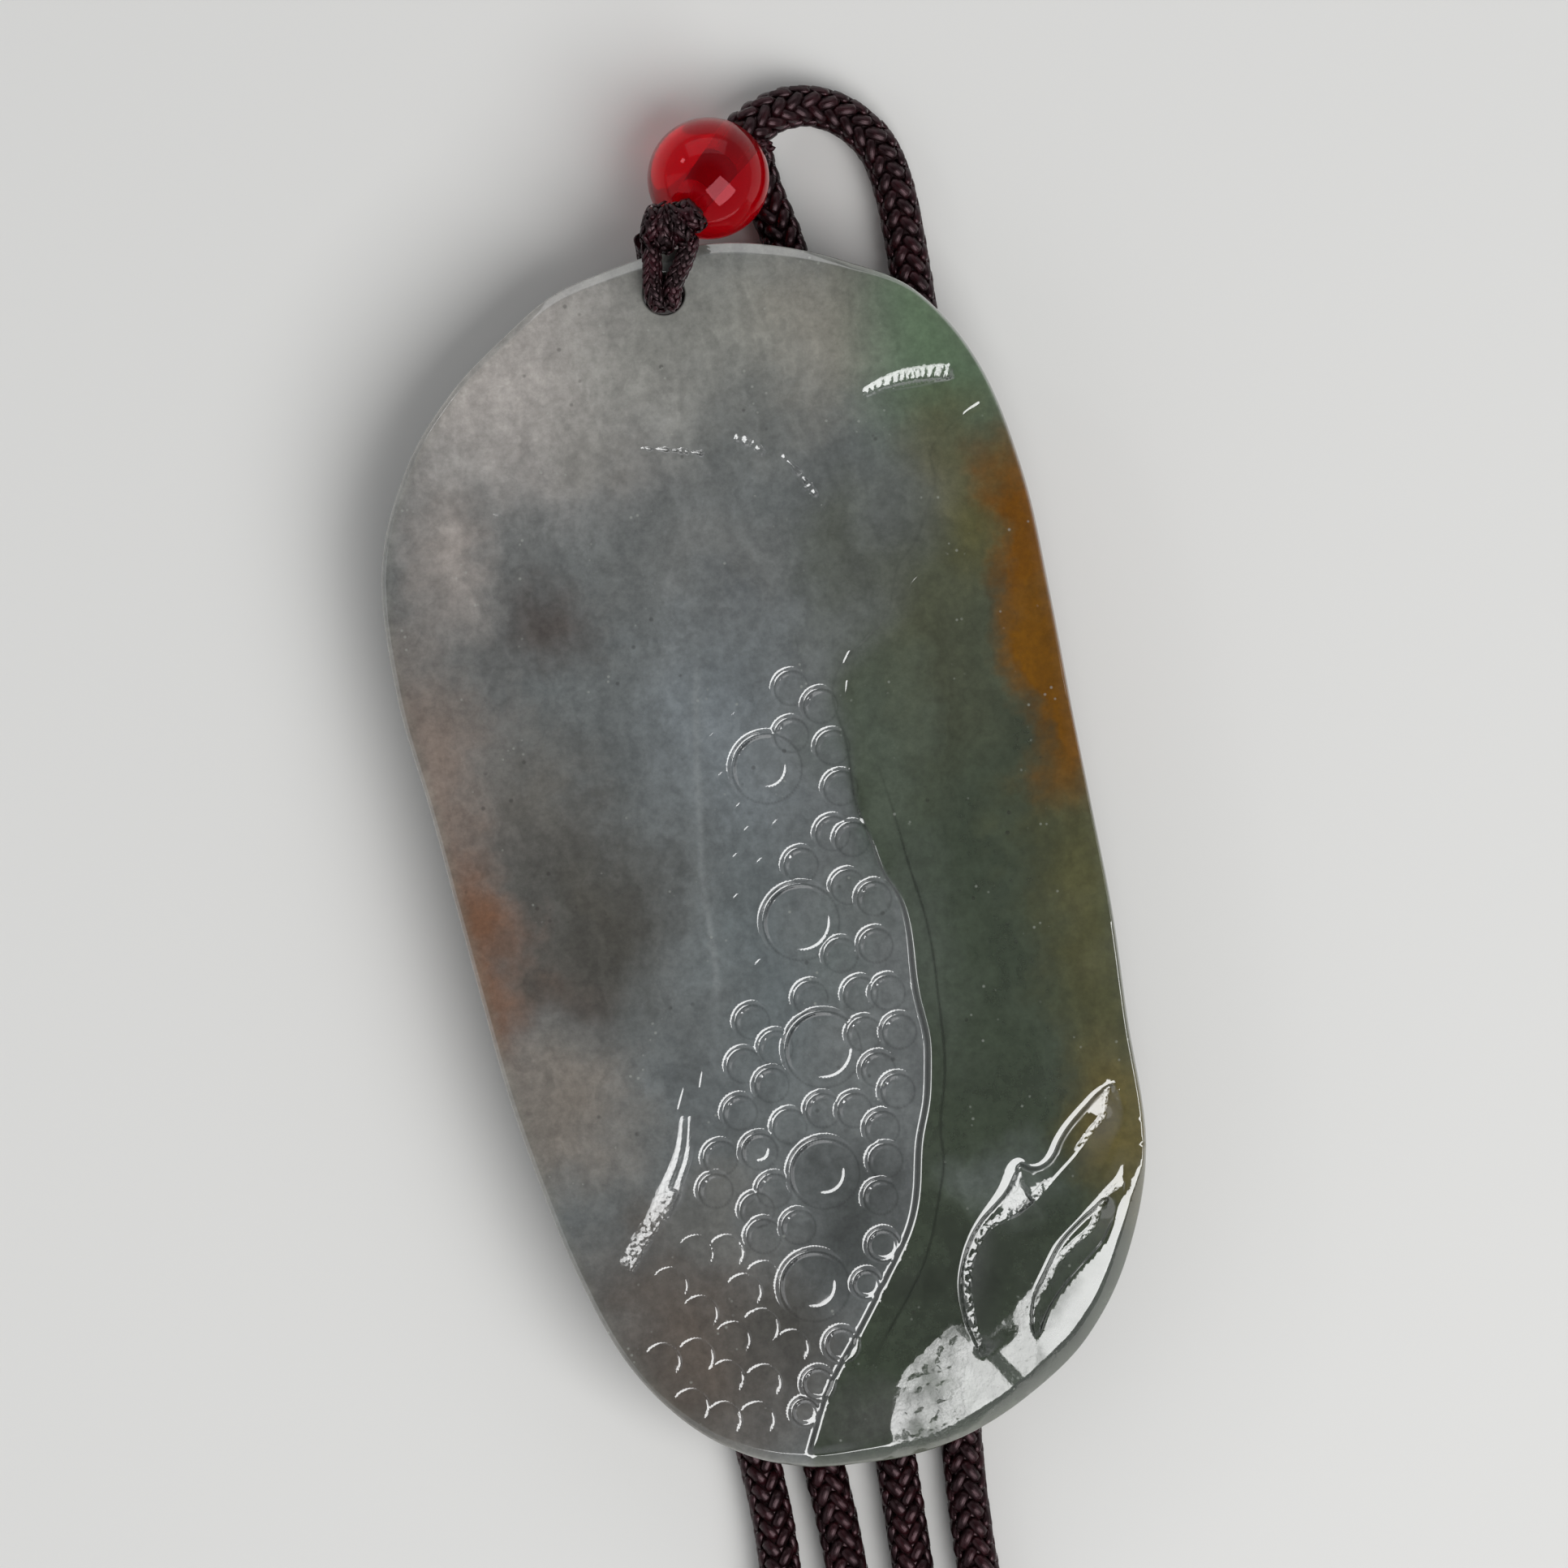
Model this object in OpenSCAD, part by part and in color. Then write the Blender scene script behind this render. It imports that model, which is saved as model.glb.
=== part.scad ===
// A carved jade pendant: a pillow-shaped plaque drilled at its top, hung by a thin
// doubled thread from a red glass bead, with a braided neck cord that is one whole loop.
// The plaque lies face up on runs of its own cord. Its long axis is Y, with the drilled
// end at +Y, and +Z points out of the carved front. The origin is the plaque's middle.

/* [Plaque] */
// Length of the plaque from its drilled end to its round foot
plaque_l = 72.2; // [60:0.1:84]
// Width of the plaque at its broadest
plaque_w = 39.4; // [34:0.1:46]
// Thickness of the plaque through its middle
plaque_t = 5.6; // [5:0.1:7]
// How much lower the front lies at its rim than in its middle
crown = 0.5; // [0.1:0.05:0.8]
// How far the polished front rim runs inwards
front_round = 1.5; // [1.2:0.1:3]
// How far the front rim drops to the side wall
front_drop = 1.2; // [0.8:0.1:2]
// How far the back's edge runs inwards and up
back_round = 1; // [0.5:0.1:1.5]

/* [Drilled hole] */
// Diameter of the hole for the thread
hole_d = 2.4; // [2.3:0.1:3]
// Distance from the plaque's top edge to the middle of the hole
hole_inset = 2.5; // [2.3:0.1:3]
// How far the hole lies to the left of the plaque's middle line
hole_left = 0.3; // [0:0.1:1]

/* [Carving] */
// How far the ground right of the stem is cut below it
stem_rise = 0.45; // [0.1:0.05:0.8]
// How far the ground left of the stem is cut below it
left_rise = 0.15; // [0:0.05:0.4]
// Width of the slope at the stem's edges
step_w = 1; // [0.6:0.1:2]
// Width of the groove that runs beside the stem
groove_w = 1.2; // [0.8:0.1:2]
// Depth of the groove that runs beside the stem
groove_d = 0.25; // [0.05:0.05:0.5]
// Depth of the ring cut round each large rosette
rosette_d = 0.25; // [0.05:0.05:0.5]
// Depth of the cuts that outline the two leaves
leaf_d = 0.7; // [0.2:0.05:1]
// Width of the cuts that outline the two leaves
leaf_w = 2.8; // [1.6:0.1:4]

/* [Bead] */
// Diameter of the glass bead
bead_d = 7.2; // [6:0.1:8]
// Diameter of the bead's bore
bead_bore = 2.2; // [1.8:0.1:2.6]
// Height of the bead's middle above the surface that everything lies on
bead_lift = 5.25; // [5.2:0.05:6]
// How steeply the bore runs down from the knot to the neck cord
bore_dip = 30; // [20:1:40]

/* [Thread] */
// Diameter of the hanging thread
thread_d = 1.05; // [0.7:0.05:1.1]
// Diameter of the thread's tail inside the bead
tail_d = 1.2; // [0.8:0.1:1.4]
// Diameter of the wound knot at its middle
knot_d = 2.4; // [2.1:0.1:2.6]
// Length of the wound knot
knot_l = 3.7; // [3:0.1:3.8]

/* [Neck cord] */
// Diameter of the braided neck cord
cord_d = 2.5; // [2:0.1:2.6]
// Gap between the plaque's back and the cord that it lies on
cord_gap = 0.15; // [0.05:0.05:0.5]

/* [Hidden] */

half_l = plaque_l / 2;
half_w = plaque_w / 2;
half_t = plaque_t / 2;
rim_z = half_t - crown;
cord_z = -half_t - cord_gap - cord_d / 2;
floor_z = cord_z - cord_d / 2;

// The plaque's outline as an ellipse whose radius is stretched or drawn in.
// Columns: angle counted from the right-hand side, share of the ellipse's radius
OUTLINE = [
    [0, 0.990], [10, 0.995], [20, 1.035], [30, 1.100], [40, 1.145], [50, 1.135],
    [60, 1.080], [70, 1.040], [80, 1.015], [90, 1.000], [100, 1.000], [110, 1.020],
    [120, 1.040], [130, 1.080], [140, 1.120], [150, 1.130], [160, 1.060], [170, 0.970],
    [180, 0.925], [190, 0.910], [200, 0.920], [210, 0.940], [220, 0.975], [230, 1.010],
    [240, 1.020], [250, 1.015], [260, 1.005], [270, 1.000], [280, 1.015], [290, 1.040],
    [300, 1.075], [310, 1.120], [320, 1.145], [330, 1.135], [340, 1.055], [350, 1.015]];
outline_step = 360 / len(OUTLINE);

// Edges of the raised stem, from the top down.
// Columns: height as a share of half the length, place as a share of half the width
STEM_RIGHT = [
    [0.67, 0.86], [0.63, 0.73], [0.57, 0.69], [0.47, 0.61], [0.37, 0.49], [0.30, 0.35],
    [0.24, 0.28], [0.12, 0.30], [0.00, 0.33], [-0.13, 0.39], [-0.34, 0.39],
    [-0.49, 0.32], [-0.62, 0.25], [-0.76, 0.08], [-0.87, -0.07], [-0.96, -0.15]];
STEM_LEFT = [
    [0.43, -0.06], [0.22, -0.13], [-0.04, -0.19], [-0.17, -0.20], [-0.26, -0.23],
    [-0.33, -0.28], [-0.40, -0.36], [-0.49, -0.41], [-0.54, -0.48], [-0.64, -0.62],
    [-0.80, -0.80]];
// The stem's left edge is cut only below this share of half the length
left_top = 0.43;

// Large rosettes on the stem.
// Columns: place and height as shares of half the width and length, radius as a share
// of half the width
ROSETTES = [
    [0.05, 0.14, 0.11], [0.08, -0.11, 0.12], [0.08, -0.32, 0.12], [0.02, -0.52, 0.12],
    [-0.06, -0.70, 0.11], [-0.16, -0.47, 0.06]];
ring_share = 0.3;

// Other cut lines, each a chain of points as shares of half the width and length
ARCH = [[-0.16, 0.69], [0.03, 0.66], [0.20, 0.63], [0.31, 0.59], [0.35, 0.54], [0.31, 0.42]];
RECESS = [[0.51, 0.71], [0.61, 0.74], [0.76, 0.75], [0.81, 0.73]];
GOUGE = [[-0.36, -0.40], [-0.41, -0.49], [-0.48, -0.54], [-0.56, -0.59], [-0.62, -0.64]];
FIRST_LEAF = [
    [0.86, -0.50], [0.76, -0.56], [0.66, -0.60], [0.50, -0.66], [0.42, -0.72],
    [0.40, -0.78], [0.43, -0.86]];
SECOND_LEAF = [[0.90, -0.60], [0.80, -0.65], [0.69, -0.70], [0.60, -0.76], [0.57, -0.84]];
// Columns: line, width, depth
CUTS = [
    [ARCH, 1.6, 0.2], [RECESS, 2, 0.5], [GOUGE, 1.6, 0.4],
    [FIRST_LEAF, leaf_w, leaf_d], [SECOND_LEAF, leaf_w * 0.7, leaf_d * 0.8]];

rings = 28;
hole_fn = 48;
thread_sides = 8;
cord_sides = 8;
sphere_fn = 64;

// The neck cord's route: place across, place along, lift above where it lies.
// It leaves the bead's far end, goes under the plaque and past its foot, comes back
// under the plaque to turn, and returns the same way beside itself.
CORD_ROUTE = [
    [5.95, 42.4, 2.05], [7.5, 43.0, 1.3], [9.2, 43.2, 0.5], [10.9, 42.8, 0.1],
    [12.4, 41.8, 0], [13.5, 40.4, 0], [14.1, 38.5, 0], [14.3, 35, 0], [14.3, 28, 0],
    [13.4, 15, 0], [11.6, 0, 0], [9.2, -16, 0], [6.6, -30, 0], [5.6, -42, 0],
    [6.6, -55, 0], [10, -72, 0], [12, -88, 0], [12.5, -98, 0], [12.5, -105, 0],
    [10.9, -108.8, 0], [7.2, -110.4, 0], [3.5, -108.8, 0], [1.9, -105, 0], [1.9, -98, 0],
    [1.8, -86, 0], [1.7, -70, 0], [1.7, -54, 0], [1.8, -42, 0], [2, -28, 0],
    [2.8, -12, 0], [3.2, 0, 0], [3.3, 8, 0], [3.3, 13.2, 0], [1.7, 17, 0],
    [-2, 18.6, 0], [-5.7, 17, 0], [-7.3, 13.2, 0], [-7.3, 8, 0], [-7.1, 0, 0],
    [-5.8, -14, 0], [-3.2, -30, 0], [-2.1, -42, 0], [-3.2, -55, 0], [-6.6, -72, 0],
    [-8.2, -88, 0], [-8.5, -98, 0], [-8.5, -105, 0], [-10.1, -108.8, 0],
    [-13.8, -110.4, 0], [-17.5, -108.8, 0], [-19.1, -105, 0], [-19.1, -98, 0],
    [-18, -86, 0], [-14, -70, 0], [-8.4, -54, 0], [-6, -42, 0], [-7, -29, 0],
    [-10.4, -12, 0], [-13, 4, 0], [-12.8, 15, 0], [-9.5, 22.5, 0], [-3.5, 26.2, 0],
    [4.1, 28.9, 0], [6.5, 30.8, 0], [7.4, 33.6, 0], [7.1, 36.2, 0], [6.5, 38.8, 0],
    [6.25, 40.8, 0]];

hole_at = [-hole_left, half_l - hole_inset];
bead_at = [3.4, half_l + 3.9, floor_z + bead_lift];
// Way round from +X in which the bore runs from the knot to the neck cord
bore_turn = 44;
knot_at = [0.9, half_l + 1.4, rim_z + 1.15];
// How far the knot's right end tips up over the bead
knot_tip = 10;
// How much further in the outer turns of the knot lie
knot_taper = 0.1;
// Share of the thread's width that a pulled turn of the knot keeps
turn_share = 0.9;
// How far the thread's tail stands out of the bead, into the knot
tail_reach = 1.2;
// How far short of the bead's far side the tail ends
tail_short = 0.25;
thread_gap = 0.08;
// Where each strand leaves the knot and where it comes up behind, from the hole's middle
STRAND_TOPS = [[-0.1, -0.65], [2.2, 0.45]];

function smooth(f) = let(c = min(1, max(0, f))) c * c * (3 - 2 * c);
function hollow(d, w) = smooth(1 - 2 * abs(d) / w);
function cubic(p, f) = p[1] + f / 2 * (p[2] - p[0]
    + f * (2 * p[0] - 5 * p[1] + 4 * p[2] - p[3] + f * (3 * (p[1] - p[2]) + p[3] - p[0])));

// Outline
function outline_share(t) =
    let(n = len(OUTLINE), i = floor(t / outline_step), f = t / outline_step - i)
    cubic([for (j = [-1:2]) OUTLINE[(i + j + n) % n][1]], f);
function drawn(t) = outline_share(t) * [half_w * cos(t), half_l * sin(t)];
DRAWN = [for (t = [0:1:359]) drawn(t)];
low = [min([for (p = DRAWN) p[0]]), min([for (p = DRAWN) p[1]])];
high = [max([for (p = DRAWN) p[0]]), max([for (p = DRAWN) p[1]])];
function outline(t) =
    let(p = drawn((t + 360) % 360), mid = (low + high) / 2)
    [(p[0] - mid[0]) * plaque_w / (high[0] - low[0]),
     (p[1] - mid[1]) * plaque_l / (high[1] - low[1])];
function outward(t) =
    let(e = outline(t + 1) - outline(t - 1)) [e[1], -e[0]] / norm(e);
function inset(t, d) = outline(t) - d * outward(t);

// Carving
function share_x(p) = p[0] / half_w;
function share_y(p) = p[1] / half_l;
function across(p, edge) = p[0] - lookup(share_y(p), edge) * half_w;
function to_segment(p, a, b) =
    let(e = b - a, f = min(1, max(0, (p - a) * e / (e * e)))) norm(p - a - f * e);
function to_line(p, line) =
    min([for (i = [1:len(line) - 1])
        to_segment(p, [line[i - 1][0] * half_w, line[i - 1][1] * half_l],
                   [line[i][0] * half_w, line[i][1] * half_l])]);
function stem_cut(p) =
    let(right = across(p, STEM_RIGHT), left = -across(p, STEM_LEFT))
    stem_rise * smooth(right / step_w + 0.5) + groove_d * hollow(right - step_w, groove_w)
    + left_rise * smooth(left / step_w + 0.5) * smooth((left_top - share_y(p)) * 5);
function rosette_cut(p) =
    max([for (r = ROSETTES)
        let(d = norm(p - [r[0] * half_w, r[1] * half_l]), radius = r[2] * half_w)
        rosette_d * hollow(d - radius, 4 * ring_share * radius)]);
function carved(p) =
    stem_cut(p) + rosette_cut(p) + max([for (c = CUTS) c[2] * hollow(to_line(p, c[0]), c[1])]);

// Plaque: rings of points grow from the middle of the front to the rim, then run
// down the side and under to the flat back
function ring_start(k) = 1 + 4 * k * (k - 1);
edge_count = 8 * rings;
function front_point(k, j) =
    let(p = inset(360 * j / (8 * k), front_round) * k / rings)
    [p[0], p[1], half_t - crown * pow(k / rings, 2) - carved(p)];
// Columns: how far in from the outline, height, share of the carving that still shows
BANDS = concat(
    [for (a = [60, 30, 0])
        [front_round * (1 - cos(a)), rim_z - front_drop * (1 - sin(a)), smooth(a / 90)]],
    [for (a = [0, 45, 90])
        [back_round * (1 - cos(a)), -half_t + back_round * (1 - sin(a)), 0]]);
function band_point(b, j) =
    let(t = 360 * j / edge_count, p = inset(t, b[0]))
    [p[0], p[1], b[1] - b[2] * carved(inset(t, front_round))];
PLAQUE_POINTS = concat(
    [[0, 0, half_t - carved([0, 0])]],
    [for (k = [1:rings], j = [0:8 * k - 1]) front_point(k, j)],
    [for (b = BANDS, j = [0:edge_count - 1]) band_point(b, j)]);
function outer(k, q, i) = ring_start(k) + (q * k + i) % (8 * k);
function inner(k, q, i) = k == 1 ? 0 : outer(k - 1, q, i);
PLAQUE_FACES = concat(
    [for (k = [1:rings], q = [0:7], i = [0:k - 1])
        [outer(k, q, i + 1), outer(k, q, i), inner(k, q, i)]],
    [for (k = [2:rings], q = [0:7], i = [0:k - 2])
        [inner(k, q, i), inner(k, q, i + 1), outer(k, q, i + 1)]],
    [for (b = [0:len(BANDS) - 1], j = [0:edge_count - 1])
        let(s = ring_start(rings) + b * edge_count, n = (j + 1) % edge_count)
        [s + j, s + n, s + edge_count + n]],
    [for (b = [0:len(BANDS) - 1], j = [0:edge_count - 1])
        let(s = ring_start(rings) + b * edge_count, n = (j + 1) % edge_count)
        [s + j, s + edge_count + n, s + edge_count + j]],
    [[for (j = [0:edge_count - 1]) ring_start(rings) + len(BANDS) * edge_count + j]]);

// A tube along a list of points, with a ring of points at each
function unit(v) = v / norm(v);
function along(path, i) = unit(path[min(i + 1, len(path) - 1)] - path[max(i - 1, 0)]);
function sideways(path, i) =
    let(v = cross(along(path, i), [0, 0, 1])) norm(v) > 0.05 ? unit(v) : [1, 0, 0];
module tube(path, d, sides) {
    rows = len(path);
    points = [for (i = [0:rows - 1], j = [0:sides - 1])
        let(u = along(path, i), s = sideways(path, i), v = cross(u, s), a = 360 * (j + 0.5) / sides)
        path[i] + d / 2 / cos(180 / sides) * (cos(a) * s + sin(a) * v)];
    walls = [for (i = [0:rows - 2], j = [0:sides - 1])
        let(n = (j + 1) % sides)
        [i * sides + j, (i + 1) * sides + j, (i + 1) * sides + n, i * sides + n]];
    ends = [[for (j = [0:sides - 1]) j], [for (j = [sides - 1:-1:0]) (rows - 1) * sides + j]];
    polyhedron(points, concat(walls, ends));
}

module jade_plaque() {
    color("#7d8580")
        difference() {
            polyhedron(PLAQUE_POINTS, PLAQUE_FACES);
            translate([hole_at[0], hole_at[1], 0])
                cylinder(d = hole_d, h = plaque_t + 2, center = true, $fn = hole_fn);
        }
}

// The bore runs from the knot, at the near end, down to the neck cord
module along_bore() {
    translate(bead_at)
        rotate([0, 0, bore_turn])
            rotate([0, 90 + bore_dip, 0])
                children();
}

module glass_bead() {
    color("#c01020")
        along_bore()
            difference() {
                sphere(d = bead_d, $fn = sphere_fn);
                cylinder(d = bead_bore, h = bead_d + 1, center = true, $fn = hole_fn);
            }
}

// One strand: from the knot over the front, down the hole and up behind the top edge.
// side is -1 for the left strand and 1 for the right one
function strand(side, top) =
    let(in_hole = side * (thread_d + thread_gap) / 2, y = hole_inset + thread_d / 2,
        over = rim_z + 0.75 * thread_d, under = -half_t - 0.65 * thread_d)
    [for (p = [
        [top[0], hole_inset - 0.15, over + 0.15], [(top[0] + in_hole) / 2, hole_inset - 1.1, over],
        [in_hole, 0.5, over], [in_hole, 0, rim_z - 0.2], [in_hole, 0, 0],
        [in_hole, 0, 0.3 - half_t], [in_hole, 0.5, under], [top[1], hole_inset - 0.4, under],
        [top[1], y + 0.1, 0.2 - half_t], [top[1], y + 0.3, -1], [top[1], y + 0.3, 0.7]])
        [hole_at[0] + p[0], hole_at[1] + p[1], p[2]]];

module hanging_thread() {
    color("#2b1216") {
        tube(strand(-1, STRAND_TOPS[0]), thread_d, thread_sides);
        tube(strand(1, STRAND_TOPS[1]), thread_d, thread_sides);
    }
}

// Half section of the wound knot: the turns of thread stand out as rounds
module knot_profile() {
    turn_d = turn_share * thread_d;
    turns = ceil(knot_l / turn_d);
    pitch = (knot_l - turn_d) / (turns - 1);
    for (i = [0:turns - 1])
        translate([(knot_d - turn_d) / 2 - (i == 0 || i == turns - 1 ? knot_taper : 0),
                   (i - (turns - 1) / 2) * pitch])
            circle(d = turn_d, $fn = hole_fn);
    translate([0, -knot_l / 2 + turn_d / 2])
        square([(knot_d - turn_d) / 2, knot_l - turn_d]);
}

module thread_knot() {
    color("#2b1216")
        union() {
            translate(knot_at)
                rotate([0, 90 - knot_tip, 0])
                    rotate_extrude($fn = hole_fn)
                        knot_profile();
            along_bore()
                translate([0, 0, -bead_d / 2 - tail_reach])
                    cylinder(d = tail_d, h = bead_d + tail_reach - tail_short, $fn = hole_fn);
        }
}

module neck_cord() {
    color("#301a1d")
        tube([for (p = CORD_ROUTE) [p[0], p[1], cord_z + p[2]]], cord_d, cord_sides);
}

jade_plaque();
glass_bead();
hanging_thread();
thread_knot();
neck_cord();
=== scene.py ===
# %% [markdown]
# # A carved jade pendant on its neck cord
# The pendant is a polished plaque of jade, 72 mm long and 39 mm wide, hung by a doubled
# thread from a red glass bead. A braided cord, one whole loop, leaves the bead. The solids
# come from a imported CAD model, and this lesson gives them their looks. All sizes below are
# in millimetres and become metres only where a mesh is made.

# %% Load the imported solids
import math

import bmesh
import bpy
import numpy as np
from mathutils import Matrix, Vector
from mathutils.geometry import delaunay_2d_cdt


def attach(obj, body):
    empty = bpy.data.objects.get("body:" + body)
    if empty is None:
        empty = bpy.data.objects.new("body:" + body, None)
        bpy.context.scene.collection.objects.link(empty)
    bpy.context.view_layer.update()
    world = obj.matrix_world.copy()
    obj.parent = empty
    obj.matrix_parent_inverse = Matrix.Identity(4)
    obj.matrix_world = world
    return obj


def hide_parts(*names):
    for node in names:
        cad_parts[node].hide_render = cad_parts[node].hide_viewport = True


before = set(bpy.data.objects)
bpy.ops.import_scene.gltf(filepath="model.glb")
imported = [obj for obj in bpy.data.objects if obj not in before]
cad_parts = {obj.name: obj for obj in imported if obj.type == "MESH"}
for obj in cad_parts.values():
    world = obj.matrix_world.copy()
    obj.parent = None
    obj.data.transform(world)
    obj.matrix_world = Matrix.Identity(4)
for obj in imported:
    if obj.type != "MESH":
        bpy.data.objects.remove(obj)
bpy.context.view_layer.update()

print("CAD nodes:", sorted(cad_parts))

# %% [markdown]
# ## The camera
# The plaque is seen straight from above, leaning a little to the left. A camera needs a
# place, a turn and a lens. The lens follows from three things that can be measured: the
# width that the picture takes in, the distance, and the width of the sensor.

# %% Camera
MM = 0.001
# Half the plaque's thickness, and how far its front falls from the middle to the rim
HALF_T, CROWN = 2.8, 0.5
RIM_Z = HALF_T - CROWN
# The picture's width in pixels, and how many of them show one millimetre
PICTURE, PX_PER_MM = 1932, 21
VIEW_MIDDLE = (1.91, 4.07)
VIEW_TURN = math.radians(-9.5)
CAMERA_ABOVE, SENSOR = 600, 36
camera_data = bpy.data.cameras.new("camera")
camera_data.sensor_width = SENSOR
camera_data.lens = SENSOR * CAMERA_ABOVE * PX_PER_MM / PICTURE
camera_data.clip_start = 0.01
camera = bpy.data.objects.new("camera", camera_data)
camera.location = Vector((*VIEW_MIDDLE, RIM_Z + CAMERA_ABOVE)) * MM
camera.rotation_euler = (0, 0, VIEW_TURN)
bpy.context.collection.objects.link(camera)
bpy.context.scene.camera = camera
print("lens %.1f mm" % camera_data.lens)

view_right = np.array([math.cos(VIEW_TURN), math.sin(VIEW_TURN)])
view_up = np.array([-view_right[1], view_right[0]])


def place(px, py):
    """Where a spot of the picture, in its pixels, lies on the plaque's front, in mm."""
    right, up = (px - PICTURE / 2) / PX_PER_MM, (PICTURE / 2 - py) / PX_PER_MM
    return np.array(VIEW_MIDDLE) + right * view_right + up * view_up


def picture_x(points):
    """How far across the picture a spot of the plaque lies, in its pixels."""
    return PICTURE / 2 + (points - VIEW_MIDDLE) @ view_right * PX_PER_MM


# %% [markdown]
# ## The neck cord's route
# The cord is 0.6 m long and lies on the table, under the plaque. Its two visible ends
# come out at the bead. The rest runs down behind the plaque, past its foot and back. A
# few points give the route. A natural cubic spline through them has no sudden change of
# bend, which a stiff little cord doesn't have either.

# %% Cord route
CORD_D = 2.5
CORD_GAP = 0.15
CORD_Z = -HALF_T - CORD_GAP - CORD_D / 2
FLOOR_Z = CORD_Z - CORD_D / 2
# Columns: place across, place along, lift above where the cord lies
CORD_ROUTE = [
    (5.95, 42.45, 2.05), (7.5, 43.3, 1.3), (9.2, 43.6, 0.5), (10.95, 43.15, 0.1),
    (12.5, 42.0, 0), (13.55, 40.5, 0), (14.1, 38.5, 0), (14.3, 35, 0), (14.3, 28, 0),
    (13.4, 15, 0), (11.6, 0, 0), (9.2, -16, 0), (6.6, -30, 0), (5.6, -42, 0),
    (6.6, -55, 0), (10, -72, 0), (12, -88, 0), (12.5, -98, 0), (12.5, -105, 0),
    (10.9, -108.8, 0), (7.2, -110.4, 0), (3.5, -108.8, 0), (1.9, -105, 0), (1.9, -98, 0),
    (1.8, -86, 0), (1.7, -70, 0), (1.7, -54, 0), (1.8, -42, 0), (2, -28, 0),
    (2.8, -12, 0), (3.2, 0, 0), (3.3, 8, 0), (3.3, 13.2, 0), (1.7, 17, 0),
    (-2, 18.6, 0), (-5.7, 17, 0), (-7.3, 13.2, 0), (-7.3, 8, 0), (-7.1, 0, 0),
    (-5.8, -14, 0), (-3.2, -30, 0), (-2.1, -42, 0), (-3.2, -55, 0), (-6.6, -72, 0),
    (-8.2, -88, 0), (-8.5, -98, 0), (-8.5, -105, 0), (-10.1, -108.8, 0),
    (-13.8, -110.4, 0), (-17.5, -108.8, 0), (-19.1, -105, 0), (-19.1, -98, 0),
    (-18, -86, 0), (-14, -70, 0), (-8.4, -54, 0), (-6, -42, 0), (-7, -29, 0),
    (-10.4, -12, 0), (-13, 4, 0), (-12.8, 15, 0), (-9.5, 22.5, 0), (-3.5, 26.2, 0),
    (4.1, 28.9, 0), (6.5, 30.8, 0), (7.4, 33.6, 0), (7.1, 36.2, 0), (6.5, 38.8, 0),
    (6.25, 40.8, 0),
]


def evenly(points, step):
    """The same line with a point at each step of its length."""
    points = np.asarray(points, float)
    at = np.append(0, np.cumsum(np.linalg.norm(np.diff(points, axis=0), axis=1)))
    want = np.linspace(0, at[-1], max(2, round(at[-1] / step) + 1))
    return np.stack([np.interp(want, at, axis) for axis in points.T], axis=1)


def smooth_line(points, step):
    """A natural cubic spline through the points, with a point at each step of it."""
    p = np.asarray(points, float)
    gap = np.linalg.norm(np.diff(p, axis=0), axis=1)
    at, last = np.append(0, np.cumsum(gap)), len(p) - 1
    system, right_side = np.eye(last + 1), np.zeros_like(p)
    for i in range(1, last):
        system[i, i - 1 : i + 2] = gap[i - 1], 2 * (gap[i - 1] + gap[i]), gap[i]
        right_side[i] = 6 * ((p[i + 1] - p[i]) / gap[i] - (p[i] - p[i - 1]) / gap[i - 1])
    bend = np.linalg.solve(system, right_side)
    t = np.linspace(0, at[-1], 20 * last)
    i = np.clip(np.searchsorted(at, t, side="right") - 1, 0, last - 1)
    before, after, h = (t - at[i])[:, None], (at[i + 1] - t)[:, None], gap[i][:, None]
    curve = (bend[i] * after**3 + bend[i + 1] * before**3) / (6 * h)
    curve += (p[i] / h - bend[i] * h / 6) * after + (p[i + 1] / h - bend[i + 1] * h / 6) * before
    return evenly(curve, step)


cord_line = smooth_line([(x, y, CORD_Z + lift) for x, y, lift in CORD_ROUTE], 1)
cord_length = np.linalg.norm(np.diff(cord_line, axis=0), axis=1).sum()
print("neck cord %.1f mm along %d points" % (cord_length, len(cord_line)))

# %% [markdown]
# ## Small helpers for node trees
# Geometry Nodes and shader nodes are both trees of nodes joined by links. One helper adds
# a node, sets its inputs and joins whatever is given as a socket, so that each tree below
# reads from top to bottom.


# %% Node helpers
def add_node(tree, kind, inputs=None, **settings):
    """Adds a node. An input given as a socket is linked, and anything else is its value."""
    made = tree.nodes.new(kind)
    for name, value in settings.items():
        setattr(made, name, value)
    for name, value in (inputs or {}).items():
        if isinstance(value, bpy.types.NodeSocket):
            tree.links.new(value, made.inputs[name])
        else:
            made.inputs[name].default_value = value
    return made


def calculate(tree, operation, *values):
    inputs = dict(enumerate(values))
    return add_node(tree, "ShaderNodeMath", inputs, operation=operation).outputs[0]


def times(tree, a, b):
    return calculate(tree, "MULTIPLY", a, b)


def of_vectors(tree, operation, a, b=None):
    """Adds, subtracts, divides, scales or measures vectors."""
    second = {} if b is None else {"Scale" if operation == "SCALE" else 1: b}
    made = add_node(tree, "ShaderNodeVectorMath", {0: a, **second}, operation=operation)
    return made.outputs["Value" if operation == "LENGTH" else "Vector"]


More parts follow.
